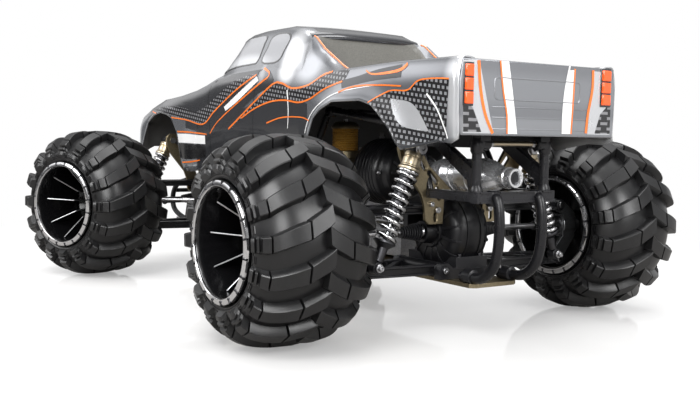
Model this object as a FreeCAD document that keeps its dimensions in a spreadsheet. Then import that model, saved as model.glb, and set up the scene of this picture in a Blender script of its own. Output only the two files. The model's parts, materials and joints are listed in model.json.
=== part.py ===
"""Radio-controlled four-wheel-drive monster truck, about one fifth scale, as a parametric FreeCAD document.

Frame: origin on the ground midway between the axles, +X to the truck's left, +Y to its rear, +Z up.
Every corner is a double wishbone. Its two arms, half shaft and (at the front) track rod are equal and parallel,
so one suspension angle moves them all and the hub stays upright. The front wheels rest turned to the left.
"""
import FreeCAD
import Part
import math
import os
import re
import Sketcher

Vector = FreeCAD.Vector
Rotation = FreeCAD.Rotation
Placement = FreeCAD.Placement
X_AXIS, Y_AXIS, Z_AXIS = Vector(1, 0, 0), Vector(0, 1, 0), Vector(0, 0, 1)

# Driving dimensions in millimetres (angles in degrees): alias, value, meaning.
CELLS = [
    ("wheelbase", 520.0, "distance between the axles"),
    ("tread_x", 201.5, "tread centre from the middle plane"),
    ("hub_z", 95.0, "axle height, equal to the tyre's radius"),
    ("tyre_radius", 95.0, "over the lugs"),
    ("tyre_half", 62.0, "half the tyre's width"),
    ("tyre_wall", 5.0, "carcass thickness"),
    ("bead_radius", 50.0, "where the tyre sits on the rim"),
    ("rim_wall", 3.0, "rim barrel thickness"),
    ("rim_half", 57.0, "half the rim's width"),
    ("ring_depth", 3.0, "bead-lock ring thickness"),
    ("ring_radius", 55.0, "bead-lock ring outer radius"),
    ("web_x", 12.0, "rim web inboard of the tread centre"),
    ("axle_radius", 5.0, "stub axle"),
    ("arm_in_x", 34.0, "inner pivots from the middle plane"),
    ("arm_out_x", 142.0, "outer pivots and kingpin from the middle plane"),
    ("lower_z", 60.0, "lower arm pivots"),
    ("upper_z", 118.0, "upper arm pivots"),
    ("pin_radius", 2.5, "hinge pins, kingpins and shock bolts"),
    ("run_gap", 0.05, "radial running clearance"),
    ("lower_barrel", 7.0, "radius of the lower arm's barrels"),
    ("upper_barrel", 6.0, "radius of the upper arm's barrels"),
    ("arm_thick", 10.0, "lower arm thickness"),
    ("upper_thick", 8.0, "upper arm thickness"),
    ("fork_in", 11.0, "inside of the arms' outer forks"),
    ("fork_out", 17.5, "outside of the lower arm's outer fork"),
    ("upper_fork_out", 17.0, "outside of the upper arm's outer fork"),
    ("lug_half", 10.0, "half the width of the hub carrier's lugs"),
    ("lower_front", 34.0, "lower barrel's reach towards the truck's middle"),
    ("lower_back", 26.0, "lower barrel's reach away from the middle"),
    ("upper_front", 20.0, "upper barrel's reach towards the middle"),
    ("upper_back", 15.5, "upper barrel's reach away from the middle"),
    ("block_gap", 0.5, "gap between a barrel and its hinge block"),
    ("block_depth", 8.0, "hinge block depth"),
    ("shock_y", 33.0, "shock plane beyond the axle"),
    ("shock_low_x", 116.0, "shock's lower eye"),
    ("shock_low_z", 68.0, "shock's lower eye height"),
    ("shock_top_x", 72.0, "shock's upper eye"),
    ("shock_top_z", 178.0, "shock's upper eye height"),
    ("shock_radius", 6.6, "shock cylinder"),
    ("shock_bore", 4.6, "inside of the shock cylinder"),
    ("shock_length", 70.0, "upper eye to the end of the shock cylinder"),
    ("spring_top", 22.0, "upper eye to the spring's upper seat"),
    ("spring_end", 92.0, "upper eye to the spring's lower seat"),
    ("spring_mean", 8.7, "spring coil radius"),
    ("spring_wire", 1.6, "spring wire radius"),
    ("spring_turns", 10.0, "coils"),
    ("seat_radius", 10.8, "spring seats"),
    ("eye_radius", 5.8, "shock eyes"),
    ("low_eye_hole", 4.2, "lower shock eye's hole, wide because the linkage is opened here"),
    ("ball_radius", 6.0, "half shaft ends"),
    ("cup_radius", 10.0, "drive cups"),
    ("cup_bore", 6.9, "drive cup bore"),
    ("half_shaft", 3.0, "half shaft radius"),
    ("drum_radius", 31.0, "differential housing"),
    ("drum_half", 24.0, "half its width"),
    ("tower_near", 16.0, "shock tower's near face beyond the axle"),
    ("tower_thick", 4.0, "shock tower plate"),
    ("plate_low", 47.0, "underside of the chassis plate"),
    ("plate_thick", 4.0, "chassis plate"),
    ("plate_half", 54.0, "half the chassis plate's width"),
    ("plate_end", 325.0, "half the chassis plate's length"),
    ("nose_half", 30.0, "half the plate's width under a gearbox"),
    ("guard_thick", 8.0, "side guard"),
    ("guard_top", 78.0, "top of the side guards"),
    ("guard_end", 182.0, "half the side guards' length"),
    ("steer_rest", 22.0, "front wheels' angle at rest, to the left"),
    ("crank_y", 47.0, "steering crank pivots behind the front axle"),
    ("crank_x", 20.0, "steering crank pivots from the middle plane"),
    ("crank_arm", 30.0, "steering crank and knuckle arm length"),
    ("rod_z", 97.0, "track rod height"),
    ("rod_radius", 2.2, "track rod"),
    ("link_low", 101.0, "underside of the drag link and knuckle arms"),
    ("link_thick", 5.0, "drag link"),
    ("bumper_z", 135.0, "rear bumper's cross bar"),
    ("bumper_y", 350.0, "rear bumper's cross bar"),
    ("loop_y", 360.0, "rear bumper's loops"),
    ("loop_x", 27.0, "rear bumper's loops"),
    ("post_x", 43.0, "rear posts"),
    ("post_y", 346.0, "rear posts"),
    ("tube_radius", 4.0, "roll cage and bumper tubes"),
    ("cage_x", 57.0, "roll cage's side tubes"),
    ("muffler_z", 152.0, "exhaust can's height"),
    ("muffler_radius", 16.5, "exhaust can"),
    ("shell_half", 92.0, "half the body shell's width"),
    ("shell_wall", 2.0, "body shell thickness"),
    ("tailgate_y", 383.2, "rear of the body shell"),
    ("belt_z", 262.0, "bottom of the cab's windows"),
    ("roof_z", 311.0, "cab roof"),
    ("bed_floor", 232.0, "load bed floor"),
    ("bed_front", 150.0, "front of the load bed"),
    ("prop_radius", 3.5, "centre drive shafts"),
]
NAMES = {alias for alias, _, _ in CELLS}
DOC = FreeCAD.newDocument("monster_truck")
SHEET = DOC.addObject("Spreadsheet::Sheet", "Sheet")
NODES = {}


def fill_sheet():
    """Writes every dimension into the spreadsheet."""
    for row, (alias, value, meaning) in enumerate(CELLS, start=1):
        SHEET.set(f"A{row}", meaning)
        SHEET.set(f"B{row}", repr(value))
        SHEET.setAlias(f"B{row}", alias)
    DOC.recompute()


def link(text):
    """An expression with every cell's alias pointed at the sheet."""
    return re.sub(r"[a-z_]+", lambda m: "Sheet." + m.group(0) if m.group(0) in NAMES else m.group(0), str(text))


def num(text):
    """The present value of an expression."""
    return float(SHEET.evalExpression(link(text)))


def cell(alias):
    """The present value of one cell."""
    return float(SHEET.get(alias))


# ---------------------------------------------------------------- document helpers

def node(name, feature):
    """Registers the finished feature as the sub-part called name."""
    feature.Label = name
    NODES[name] = feature
    return feature


def bind(feature, **expressions):
    """Sets each named property of a feature from an expression."""
    for name, text in expressions.items():
        feature.setExpression(name, link(text))


def place(feature, x=0, y=0, z=0, axis=None, angle=0):
    """Binds a feature's position, and turns it about axis by angle."""
    if axis is not None:
        feature.Placement = Placement(Vector(), Rotation(axis, num(angle)))
        if not isinstance(angle, (int, float)):
            feature.setExpression("Placement.Rotation.Angle", link(angle))
    for direction, text in zip("xyz", (x, y, z)):
        feature.setExpression(f"Placement.Base.{direction}", link(text))
    return feature


def box(x0, x1, y0, y1, z0, z1):
    """A block between two corners."""
    made = DOC.addObject("Part::Box", "Block")
    bind(made, Length=f"({x1}) - ({x0})", Width=f"({y1}) - ({y0})", Height=f"({z1}) - ({z0})")
    return place(made, x0, y0, z0)


TURN = {"x": (Y_AXIS, 90), "y": (X_AXIS, -90), "z": (Z_AXIS, 0)}


def rod(direction, radius, length, x=0, y=0, z=0):
    """A cylinder from (x, y, z) along +direction."""
    made = DOC.addObject("Part::Cylinder", "Rod")
    bind(made, Radius=radius, Height=length)
    axis, angle = TURN[direction]
    return place(made, x, y, z, axis, angle)


def cone(direction, radius, end_radius, length, x=0, y=0, z=0):
    """A cone from (x, y, z) along +direction."""
    made = DOC.addObject("Part::Cone", "Cone")
    bind(made, Radius1=radius, Radius2=end_radius, Height=length)
    axis, angle = TURN[direction]
    return place(made, x, y, z, axis, angle)


def ball(radius, x, y, z):
    """A sphere about (x, y, z)."""
    made = DOC.addObject("Part::Sphere", "Ball")
    bind(made, Radius=radius)
    return place(made, x, y, z)


def fuse(*features):
    """One solid from several touching ones."""
    made = DOC.addObject("Part::MultiFuse", "Union")
    made.Shapes = list(features)
    return made


def cut(base, *tools):
    """The base with every tool taken away."""
    made = DOC.addObject("Part::Cut", "Cut")
    made.Base = base
    made.Tool = tools[0] if len(tools) == 1 else fuse(*tools)
    return made


def group(*features):
    """Several separate solids as one sub-part."""
    made = DOC.addObject("Part::Compound", "Group")
    made.Links = list(features)
    return made


def mirror(feature, normal):
    """A mirror image across the plane through the origin with this normal."""
    made = DOC.addObject("Part::Mirroring", "Mirror")
    made.Source = feature
    made.Normal = normal
    return made


def moved(feature, x=0, y=0, z=0, axis=None, angle=0):
    """A compound that carries one feature to a new place."""
    return place(group(feature), x, y, z, axis, angle)


def outline(sketch, points):
    """A closed outline whose corners are bound to the sheet."""
    corners = [Vector(num(u), num(v), 0) for u, v in points]
    count = len(corners)
    for i in range(count):
        sketch.addGeometry(Part.LineSegment(corners[i], corners[(i + 1) % count]))
    for i in range(count):
        sketch.addConstraint(Sketcher.Constraint("Coincident", i, 2, (i + 1) % count, 1))
    for i, (u, v) in enumerate(points):
        for kind, text, value, axis in (("DistanceX", u, corners[i].x, -2), ("DistanceY", v, corners[i].y, -1)):
            if abs(value) < 1e-9:
                sketch.addConstraint(Sketcher.Constraint("PointOnObject", i, 1, axis))
            else:
                index = sketch.addConstraint(Sketcher.Constraint(kind, -1, 1, i, 1, value))
                sketch.setExpression(f"Constraints[{index}]", link(text))


def circles(sketch, holes):
    """Circles bound to the sheet: (u, v, radius)."""
    for u, v, radius in holes:
        index = sketch.addGeometry(Part.Circle(Vector(num(u), num(v), 0), Z_AXIS, num(radius)))
        bound = [("Radius", (index,), radius, num(radius))]
        for kind, text, axis in (("DistanceX", u, -2), ("DistanceY", v, -1)):
            if abs(num(text)) < 1e-9:
                sketch.addConstraint(Sketcher.Constraint("PointOnObject", index, 3, axis))
            else:
                bound.append((kind, (-1, 1, index, 3), text, num(text)))
        for kind, where, text, value in bound:
            made = sketch.addConstraint(Sketcher.Constraint(kind, *where, value))
            sketch.setExpression(f"Constraints[{made}]", link(text))


def new_body(name):
    """An empty PartDesign body."""
    return DOC.addObject("PartDesign::Body", name)


def sketch_on(body, plane, offset=0):
    """A sketch on the body's own XY, XZ or YZ plane, offset along the plane's world axis."""
    sketch = body.newObject("Sketcher::SketchObject", "Sketch")
    support = [f for f in body.Origin.OriginFeatures if f.Role == plane + "_Plane"][0]
    sketch.AttachmentSupport = [(support, "")]
    sketch.MapMode = "FlatFace"
    sign = "-" if plane == "XZ" else ""
    sketch.setExpression("AttachmentOffset.Base.z", link(f"{sign}({offset})"))
    return sketch


def pad(body, plane, shape, length, middle=0, holes=()):
    """Material of the given total length, centred on middle along the plane's world axis."""
    sketch = sketch_on(body, plane, middle)
    if shape:
        outline(sketch, shape)
    circles(sketch, holes)
    feature = body.newObject("PartDesign::Pad", "Pad")
    feature.Profile = sketch
    feature.Midplane = True
    bind(feature, Length=length)
    return feature


def pocket(body, plane, shape, length, middle=0, holes=()):
    """A cut of the given total depth, centred on middle along the plane's world axis."""
    sketch = sketch_on(body, plane, middle)
    if shape:
        outline(sketch, shape)
    circles(sketch, holes)
    feature = body.newObject("PartDesign::Pocket", "Pocket")
    feature.Profile = sketch
    feature.Midplane = True
    bind(feature, Length=length)
    return feature


def revolve(body, profile):
    """Turns an (x, radius) profile about the X axis."""
    sketch = sketch_on(body, "XZ")
    outline(sketch, profile)
    feature = body.newObject("PartDesign::Revolution", "Revolution")
    feature.Profile = sketch
    feature.ReferenceAxis = (sketch, ["H_Axis"])
    feature.Angle = 360
    return feature


def both_sides(half):
    """Mirrors the +u half of an outline across u = 0."""
    return list(half) + [(f"-({u})", v) for u, v in reversed(half)]


def run(points, radius):
    """A round tube frame: straight tubes with ball corners through the points."""
    solids = []
    for start, end in zip(points, points[1:]):
        span = end - start
        solids.append(Part.makeCylinder(radius, span.Length, start, span))
    for corner in points:
        solids.append(Part.makeSphere(radius, corner))
    return solids


def feature_of(solids):
    """A Part::Feature holding the union of solids, for free tube runs and coils."""
    made = DOC.addObject("Part::Feature", "Tubes")
    whole = solids[0].multiFuse(solids[1:]) if len(solids) > 1 else solids[0]
    made.Shape = whole.removeSplitter()
    return made


# ---------------------------------------------------------------- wheels

def tyre(name, side, end):
    """A hollow carcass with crowned tread, open at the beads."""
    body = new_body(name)
    half = [
        ("tyre_half - 9", "bead_radius"),
        ("tyre_half - 7", "ring_radius"),
        ("tyre_half - 1", "bead_radius + 12"),
        ("tyre_half", "tyre_radius - 26"),
        ("tyre_half - 7", "tyre_radius - 10"),
        ("tyre_half - 26", "tyre_radius - 1"),
        ("tyre_half - 44", "tyre_radius"),
    ]
    inner = [
        ("tyre_half - 44", "tyre_radius - 11 - tyre_wall"),
        ("tyre_half - 20", "tyre_radius - 14 - tyre_wall"),
        ("tyre_half - 7 - tyre_wall", "tyre_radius - 28"),
        ("tyre_half - 7 - tyre_wall", "bead_radius + 14"),
        ("tyre_half - 22", "bead_radius + 6"),
        ("tyre_half - 22", "bead_radius"),
    ]
    loop = half + [(f"-({u})", v) for u, v in reversed(half)]
    loop += [(f"-({u})", v) for u, v in reversed(inner)] + inner
    revolve(body, loop)
    return wheel_place(node(name, body), side, end)


def wheel_place(feature, side, end):
    """Carries a wheel piece, made about the X axis, to its corner; the front ones turn about the kingpin."""
    if end > 0:
        return place(feature, f"{side} * tread_x", "wheelbase / 2", "hub_z", Z_AXIS, 0 if side > 0 else 180)
    reach = "(tread_x - arm_out_x)"
    return place(
        feature,
        f"{side} * (arm_out_x + {reach} * cos(steer_rest * 1deg))",
        f"-wheelbase / 2 + {side} * {reach} * sin(steer_rest * 1deg)",
        "hub_z",
        Z_AXIS,
        "steer_rest" if side > 0 else "steer_rest + 180",
    )


def rim(name, side, end):
    """Rim with ribbed dish, two bead-lock rings, stub axle with drive cup, and wheel nut."""
    shell = new_body(name + "_barrel")
    revolve(shell, [
        ("-rim_half", "bead_radius - rim_wall"),
        ("-web_x - 6", "bead_radius - rim_wall"),
        ("-web_x - 14", "16"),
        ("-web_x - 14", "axle_radius"),
        ("-web_x + 2", "axle_radius"),
        ("-web_x + 2", "11"),
        ("-web_x - 9", "16"),
        ("-web_x - 1", "bead_radius - rim_wall"),
        ("rim_half", "bead_radius - rim_wall"),
        ("rim_half", "ring_radius - 1"),
        ("tyre_half - 7", "ring_radius - 1"),
        ("tyre_half - 9", "bead_radius"),
        ("-tyre_half + 9", "bead_radius"),
        ("-tyre_half + 7", "ring_radius - 1"),
        ("-rim_half", "ring_radius - 1"),
    ])
    rib = sketch_on(shell, "XZ")
    outline(rib, [
        ("-web_x - 9", "10"),
        ("-web_x + 1", "12"),
        ("-web_x + 1", "22"),
        ("-web_x + 4", "bead_radius - rim_wall + 1"),
        ("-web_x - 4", "bead_radius - rim_wall + 1"),
    ])
    rib_pad = shell.newObject("PartDesign::Pad", "Rib")
    rib_pad.Profile = rib
    rib_pad.Midplane = True
    rib_pad.Length = 2.4
    DOC.recompute()
    ribs = shell.newObject("PartDesign::PolarPattern", "Ribs")
    ribs.Originals = [rib_pad]
    ribs.Axis = (rib, ["H_Axis"])
    ribs.Angle = 360
    ribs.Occurrences = 8
    shell.Tip = ribs
    pieces = [shell]
    for sign in (1, -1):
        ring = new_body(name + "_ring")
        face, back = f"{sign} * (rim_half + ring_depth)", f"{sign} * rim_half"
        revolve(ring, [
            (back, "bead_radius - rim_wall"),
            (f"{sign} * (rim_half + ring_depth - 1)", "bead_radius - rim_wall"),
            (face, "bead_radius - rim_wall + 1"),
            (face, "ring_radius - 1"),
            (back, "ring_radius"),
        ])
        notch = sketch_on(ring, "XZ", "bead_radius - rim_wall")
        outline(notch, [
            (f"{sign} * (rim_half + ring_depth - 1.2)", "-1.4"),
            (f"{sign} * (rim_half + ring_depth + 1)", "-1.4"),
            (f"{sign} * (rim_half + ring_depth + 1)", "1.4"),
            (f"{sign} * (rim_half + ring_depth - 1.2)", "1.4"),
        ])
        nick = ring.newObject("PartDesign::Pocket", "Notch")
        nick.Profile = notch
        nick.Midplane = True
        nick.Length = 24
        DOC.recompute()
        nicks = ring.newObject("PartDesign::PolarPattern", "Notches")
        nicks.Originals = [nick]
        axis_feature = [f for f in ring.Origin.OriginFeatures if f.Role == "X_Axis"][0]
        nicks.Axis = (axis_feature, [""])
        nicks.Angle = 360
        nicks.Occurrences = 12
        ring.Tip = nicks
        pieces.append(ring)
    cup_in = "arm_out_x - 4 - tread_x"
    axle = new_body(name + "_axle")
    revolve(axle, [
        (cup_in, "cup_radius - 0.7"),
        (cup_in, "cup_radius"),
        (f"{cup_in} + 13", "cup_radius"),
        (f"{cup_in} + 13", "axle_radius"),
        ("-web_x - 19", "axle_radius"),
        ("-web_x - 19", "11"),
        ("-web_x - 14", "11"),
        ("-web_x - 14", "axle_radius"),
        ("-web_x + 8", "axle_radius"),
        ("-web_x + 8", "0"),
        (f"{cup_in} + 11", "0"),
        (f"{cup_in} + 11", "cup_bore"),
        (f"{cup_in} + 6", "cup_bore"),
    ])
    nut = new_body(name + "_nut")
    hexagon = [(f"9 * cos({60 * k}deg)", f"9 * sin({60 * k}deg)") for k in range(6)]
    pad(nut, "YZ", hexagon, 6, "-web_x + 5", holes=[("0", "0", "axle_radius")])
    pieces += [axle, nut]
    return wheel_place(node(name, group(*pieces)), side, end)


# ---------------------------------------------------------------- suspension, made at the rear left

def lower_arm():
    """A-shaped arm with inner barrel, outer fork and a boss for the shock bolt."""
    body = new_body("lower_arm")
    pad(body, "XY", [
        ("arm_in_x", "-lower_front"),
        ("arm_in_x + 24", "-lower_front"),
        ("arm_out_x", "-fork_out"),
        ("arm_out_x", "fork_out"),
        ("arm_in_x + 24", "lower_back"),
        ("arm_in_x", "lower_back"),
    ], "arm_thick", "lower_z")
    pad(body, "XZ", None, "lower_front + lower_back", "(lower_back - lower_front) / 2",
        holes=[("arm_in_x", "lower_z", "lower_barrel")])
    pad(body, "XZ", None, "2 * fork_out", 0, holes=[("arm_out_x", "lower_z", "lower_barrel")])
    pad(body, "XZ", [
        ("shock_low_x - 9", "lower_z"), ("shock_low_x + 9", "lower_z"),
        ("shock_low_x + 6", "shock_low_z + 5"), ("shock_low_x - 6", "shock_low_z + 5"),
    ], 8, "fork_out - 3")
    pocket(body, "XY", [
        ("arm_out_x - 16", "-fork_in"), ("arm_out_x + 12", "-fork_in"),
        ("arm_out_x + 12", "fork_in"), ("arm_out_x - 16", "fork_in"),
    ], 30, "lower_z")
    pocket(body, "XY", [
        ("arm_in_x + 14", "-lower_front + 12"), ("arm_out_x - 30", "-fork_out + 10"),
        ("arm_out_x - 30", "fork_out - 12"), ("arm_in_x + 14", "lower_back - 11"),
    ], 30, "lower_z")
    pocket(body, "XZ", None, 200, 0, holes=[("arm_in_x", "lower_z", "pin_radius + run_gap")])
    pocket(body, "XZ", None, 200, 0, holes=[("arm_out_x", "lower_z", "pin_radius")])
    pocket(body, "XZ", None, 60, "fork_out", holes=[("shock_low_x", "shock_low_z", "pin_radius")])
    outer_pin = rod("y", "pin_radius", "2 * fork_out", "arm_out_x", "-fork_out", "lower_z")
    bolt = rod("y", "pin_radius", "shock_y - fork_out + 13", "shock_low_x", "fork_out - 7", "shock_low_z")
    head = rod("y", "pin_radius + 1.5", 2, "shock_low_x", "shock_y + 5.5", "shock_low_z")
    return group(body, outer_pin, fuse(bolt, head))


def upper_arm():
    """Flat wishbone with a round barrel at each end, a fork for the hub carrier and a window."""
    body = new_body("upper_arm")
    pad(body, "XY", [
        ("arm_in_x", "-upper_front"), ("arm_in_x + 12", "-upper_front"),
        ("arm_out_x", "-upper_fork_out"), ("arm_out_x", "upper_fork_out"),
        ("arm_in_x + 30", "upper_back"), ("arm_in_x", "upper_back"),
    ], "upper_thick", "upper_z")
    pad(body, "XZ", None, "upper_front + upper_back", "(upper_back - upper_front) / 2",
        holes=[("arm_in_x", "upper_z", "upper_barrel")])
    pad(body, "XZ", None, "2 * upper_fork_out", 0, holes=[("arm_out_x", "upper_z", "upper_barrel")])
    pocket(body, "XY", [
        ("arm_out_x - 19", "-fork_in"), ("arm_out_x + 12", "-fork_in"),
        ("arm_out_x + 12", "fork_in"), ("arm_out_x - 19", "fork_in"),
    ], 30, "upper_z")
    pocket(body, "XY", [
        ("arm_in_x + 16", "-upper_front + 10"), ("arm_out_x - 34", "-upper_fork_out + 9"),
        ("arm_out_x - 34", "upper_fork_out - 9"), ("arm_in_x + 16", "upper_back - 9"),
    ], 30, "upper_z")
    pocket(body, "XZ", None, 200, 0, holes=[("arm_in_x", "upper_z", "pin_radius + run_gap")])
    pocket(body, "XZ", None, 200, 0, holes=[("arm_out_x", "upper_z", "pin_radius")])
    pin = rod("y", "pin_radius", "2 * upper_fork_out", "arm_out_x", "-upper_fork_out", "upper_z")
    return group(body, pin)


def bearings():
    """Two ball races round the stub axle."""
    races = []
    for start in ("arm_out_x + 10", "arm_out_x + 23"):
        outer = rod("x", "axle_radius + 4.5", 4.5, start, 0, "hub_z")
        races.append(cut(outer, rod("x", "axle_radius + run_gap", 4.5, start, 0, "hub_z")))
    return races


def hub_carrier():
    """Rear carrier: two lugs joined by a web round the bearing housing."""
    body = new_body("hub_carrier")
    pad(body, "XZ", [
        ("arm_out_x - 7", "lower_z - 6"), ("arm_out_x + 7", "lower_z - 6"),
        ("arm_out_x + 28", "hub_z - 14"), ("arm_out_x + 28", "hub_z + 14"),
        ("arm_out_x + 7", "upper_z + 6"), ("arm_out_x - 6", "upper_z + 6"),
        ("arm_out_x - 6", "upper_z - 6"), ("arm_out_x + 10", "hub_z + 12"),
        ("arm_out_x + 10", "hub_z - 12"), ("arm_out_x - 7", "lower_z + 8"),
    ], "2 * lug_half", 0)
    pad(body, "YZ", None, 18, "arm_out_x + 19", holes=[("0", "hub_z", "axle_radius + 8")])
    pocket(body, "YZ", None, 80, "arm_out_x + 19", holes=[("0", "hub_z", "axle_radius + 4.5")])
    for height in ("lower_z", "upper_z"):
        pocket(body, "XZ", None, 60, 0, holes=[("arm_out_x", height, "pin_radius + run_gap")])
    return group(body, *bearings())


def front_carrier():
    """C-shaped carrier, open outboard, with two kingpins and a slot for the half shaft."""
    body = new_body("front_carrier")
    pad(body, "XZ", [
        ("arm_out_x - 18", "lower_z + 15"), ("arm_out_x - 14", "lower_z + 7"), ("arm_out_x - 10", "lower_z - 6"),
        ("arm_out_x + 8", "lower_z - 6"), ("arm_out_x + 8", "lower_z + 13"),
        ("arm_out_x - 11.5", "lower_z + 13"), ("arm_out_x - 11.5", "upper_z - 7"),
        ("arm_out_x + 8", "upper_z - 7"), ("arm_out_x + 8", "upper_z + 6"),
        ("arm_out_x - 10", "upper_z + 6"), ("arm_out_x - 14", "upper_z - 5"), ("arm_out_x - 18", "upper_z - 12"),
    ], "2 * lug_half", 0)
    pocket(body, "YZ", [
        ("-7", "hub_z - 15"), ("7", "hub_z - 15"), ("7", "hub_z + 15"), ("-7", "hub_z + 15"),
    ], 30, "arm_out_x - 18")
    for height in ("lower_z", "upper_z"):
        pocket(body, "XZ", None, 60, 0, holes=[("arm_out_x", height, "pin_radius + run_gap")])
    pins = []
    for low, length in (("lower_z + 4", 16), ("upper_z - 11.5", 8)):
        pocket(body, "XY", None, length, f"{low} + {length / 2}", holes=[("arm_out_x", "0", "pin_radius")])
        pins.append(rod("z", "pin_radius", length, "arm_out_x", 0, low))
    return group(body, *pins)


def knuckle():
    """Steering knuckle made straight ahead about its own kingpin: tabs, bearing housing and steering arm."""
    body = new_body("knuckle")
    pad(body, "XZ", [
        ("-7", "lower_z + 13.5"), ("28", "lower_z + 13.5"), ("28", "hub_z + 12"),
        ("20", "upper_z - 7.5"), ("-7", "upper_z - 7.5"), ("-7", "hub_z + 10.6"),
        ("10", "hub_z + 10.6"), ("10", "hub_z - 10.6"), ("-7", "hub_z - 10.6"),
    ], "2 * lug_half - 3", 0)
    pad(body, "YZ", None, 18, 19, holes=[("0", "hub_z", "axle_radius + 8")])
    pad(body, "XY", [
        ("12", "0"), ("22", "0"), ("6", "crank_arm + 5"), ("-6", "crank_arm + 5"), ("-6", "crank_arm - 5"),
        ("4", "cup_radius + 1"), ("12", "cup_radius - 1"),
    ], "link_thick", "link_low + link_thick / 2")
    pocket(body, "YZ", None, 80, 50, holes=[("0", "hub_z", "axle_radius + 4.5")])
    pocket(body, "XY", None, 200, "hub_z", holes=[("0", "0", "pin_radius + run_gap")])
    stud = rod("z", 2, "link_low - rod_z + 5", 0, "crank_arm", "rod_z - 5")
    races = [moved(race, "-arm_out_x", 0, 0) for race in bearings()]
    return group(fuse(body, stud), *races)


def shock_pose(feature):
    """Carries a shock piece, made along -Z from its upper eye, onto the line between the eyes."""
    across = cell("shock_low_x") - cell("shock_top_x")
    down = cell("shock_top_z") - cell("shock_low_z")
    lean = math.degrees(math.atan2(across, down))
    place(feature, "shock_top_x", "shock_y", "shock_top_z", Y_AXIS, -lean)
    return feature


def shock_length():
    """Distance between the shock's eyes."""
    return math.hypot(cell("shock_low_x") - cell("shock_top_x"), cell("shock_top_z") - cell("shock_low_z"))


def shock_body():
    """Hollow cylinder with cap, eye and threaded collar."""
    eye = rod("y", "eye_radius", 12, 0, -6, 0)
    cap = rod("z", "shock_radius + 2.4", 11, 0, 0, "-18")
    collar = rod("z", "seat_radius", 6, 0, 0, "-spring_top")
    barrel = rod("z", "shock_radius", "shock_length - 16", 0, 0, "-shock_length")
    neck = rod("z", "eye_radius - 1", 8, 0, 0, "-8")
    whole = fuse(eye, neck, cap, collar, barrel)
    bore = rod("z", "shock_bore", "shock_length - 24", 0, 0, "-shock_length + 4")
    gland = rod("z", "pin_radius + run_gap", 10, 0, 0, "-shock_length - 2")
    hole = rod("y", "pin_radius + run_gap", 20, 0, -10, 0)
    return shock_pose(group(cut(whole, bore, gland, hole)))


def shock_rod():
    """Piston, rod, lower spring seat and lower eye."""
    length = shock_length()
    piston = rod("z", "shock_bore - run_gap", 4, 0, 0, -42)
    shaft = rod("z", "pin_radius", length - 48, 0, 0, -(length - 10))
    seat = cone("z", "seat_radius - 3", "seat_radius", 4, 0, 0, "-spring_end - 4")
    end = rod("z", "eye_radius - 1.5", length - 97, 0, 0, -length + 1)
    eye = rod("y", "eye_radius", 9, 0, -4.5, -length)
    hole = rod("y", "low_eye_hole", 20, 0, -10, -length)
    return shock_pose(group(cut(fuse(piston, shaft, seat, end, eye), hole)))


def spring():
    """Coil between the collar and the lower seat."""
    wire, mean = cell("spring_wire"), cell("spring_mean")
    span = cell("spring_end") - cell("spring_top") - 2 * wire - 0.4
    helix = Part.makeHelix(span / cell("spring_turns"), span, mean)
    section = Part.Wire(Part.makeCircle(wire, Vector(mean, 0, 0), Y_AXIS))
    made = DOC.addObject("Part::Feature", "Coil")
    made.Shape = Part.Wire(helix).makePipeShell([section], True, True)
    made.Placement = Placement(Vector(0, 0, -cell("spring_end") + wire + 0.2), Rotation())
    return shock_pose(group(made))


def drive_shaft():
    """Half shaft with a ball at each end."""
    shaft = rod("x", "half_shaft", "arm_out_x - arm_in_x", "arm_in_x", 0, "hub_z")
    inner = ball("ball_radius", "arm_in_x", 0, "hub_z")
    outer = ball("ball_radius", "arm_out_x", 0, "hub_z")
    sleeve = rod("x", "half_shaft + 2", 18, "arm_in_x + 12", 0, "hub_z")
    return fuse(shaft, inner, outer, sleeve)


# ---------------------------------------------------------------- gearboxes, towers and fasteners, at the rear

def gearbox():
    """Ribbed round differential housing on a foot that carries the lower hinge blocks."""
    front_block = "-lower_front - block_gap"
    back_block = "lower_back + block_gap"
    side = "arm_in_x + lower_barrel - 1"
    front_end = f"{front_block} - block_depth"
    back_end = f"{back_block} + block_depth"
    plate_top = "plate_low + plate_thick"
    lower_top = "lower_z + 7"
    solids = [rod("x", "drum_radius", "2 * drum_half", "-drum_half", 0, "hub_z")]
    for x in (-22, -13, -4, 4, 13, 22):
        solids.append(rod("x", "drum_radius + 2", 2, x - 1, 0, "hub_z"))
    solids += [
        box("-20", "20", front_end, back_end, plate_top, "hub_z - 22"),
        box(f"-({side})", side, front_end, front_block, plate_top, lower_top),
        box(f"-({side})", side, back_block, back_end, plate_top, lower_top),
        box("-arm_in_x - 5", "arm_in_x + 5", "-upper_front - 8", "-upper_front - block_gap", "hub_z - 8",
            "upper_z + 6"),
        box("-18", "18", "tower_near - 8", "tower_near", "hub_z + 20", "hub_z + 38"),
        rod("x", "cup_radius + 1", "2 * (arm_in_x + 4)", "-arm_in_x - 4", 0, "hub_z"),
        rod("y", "9", "18", 0, "-drum_radius - 14", "hub_z"),
    ]
    sockets = [
        rod("x", "cup_bore", 18, "arm_in_x - 12", 0, "hub_z"),
        rod("x", "cup_bore", 18, "-arm_in_x - 6", 0, "hub_z"),
        rod("y", "prop_radius + run_gap", 13, 0, "-drum_radius - 15", "hub_z"),
    ]
    holes = []
    for x in ("arm_in_x", "-arm_in_x"):
        holes.append(rod("y", "pin_radius", 120, x, -60, "lower_z"))
        holes.append(rod("y", "pin_radius", 30, x, "-upper_front - 20", "upper_z"))
    for x in (-12, 12):
        holes.append(rod("y", "1.5", 8, x, "tower_near - 8", "hub_z + 36"))
    return cut(fuse(*solids), *sockets, *holes)


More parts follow.
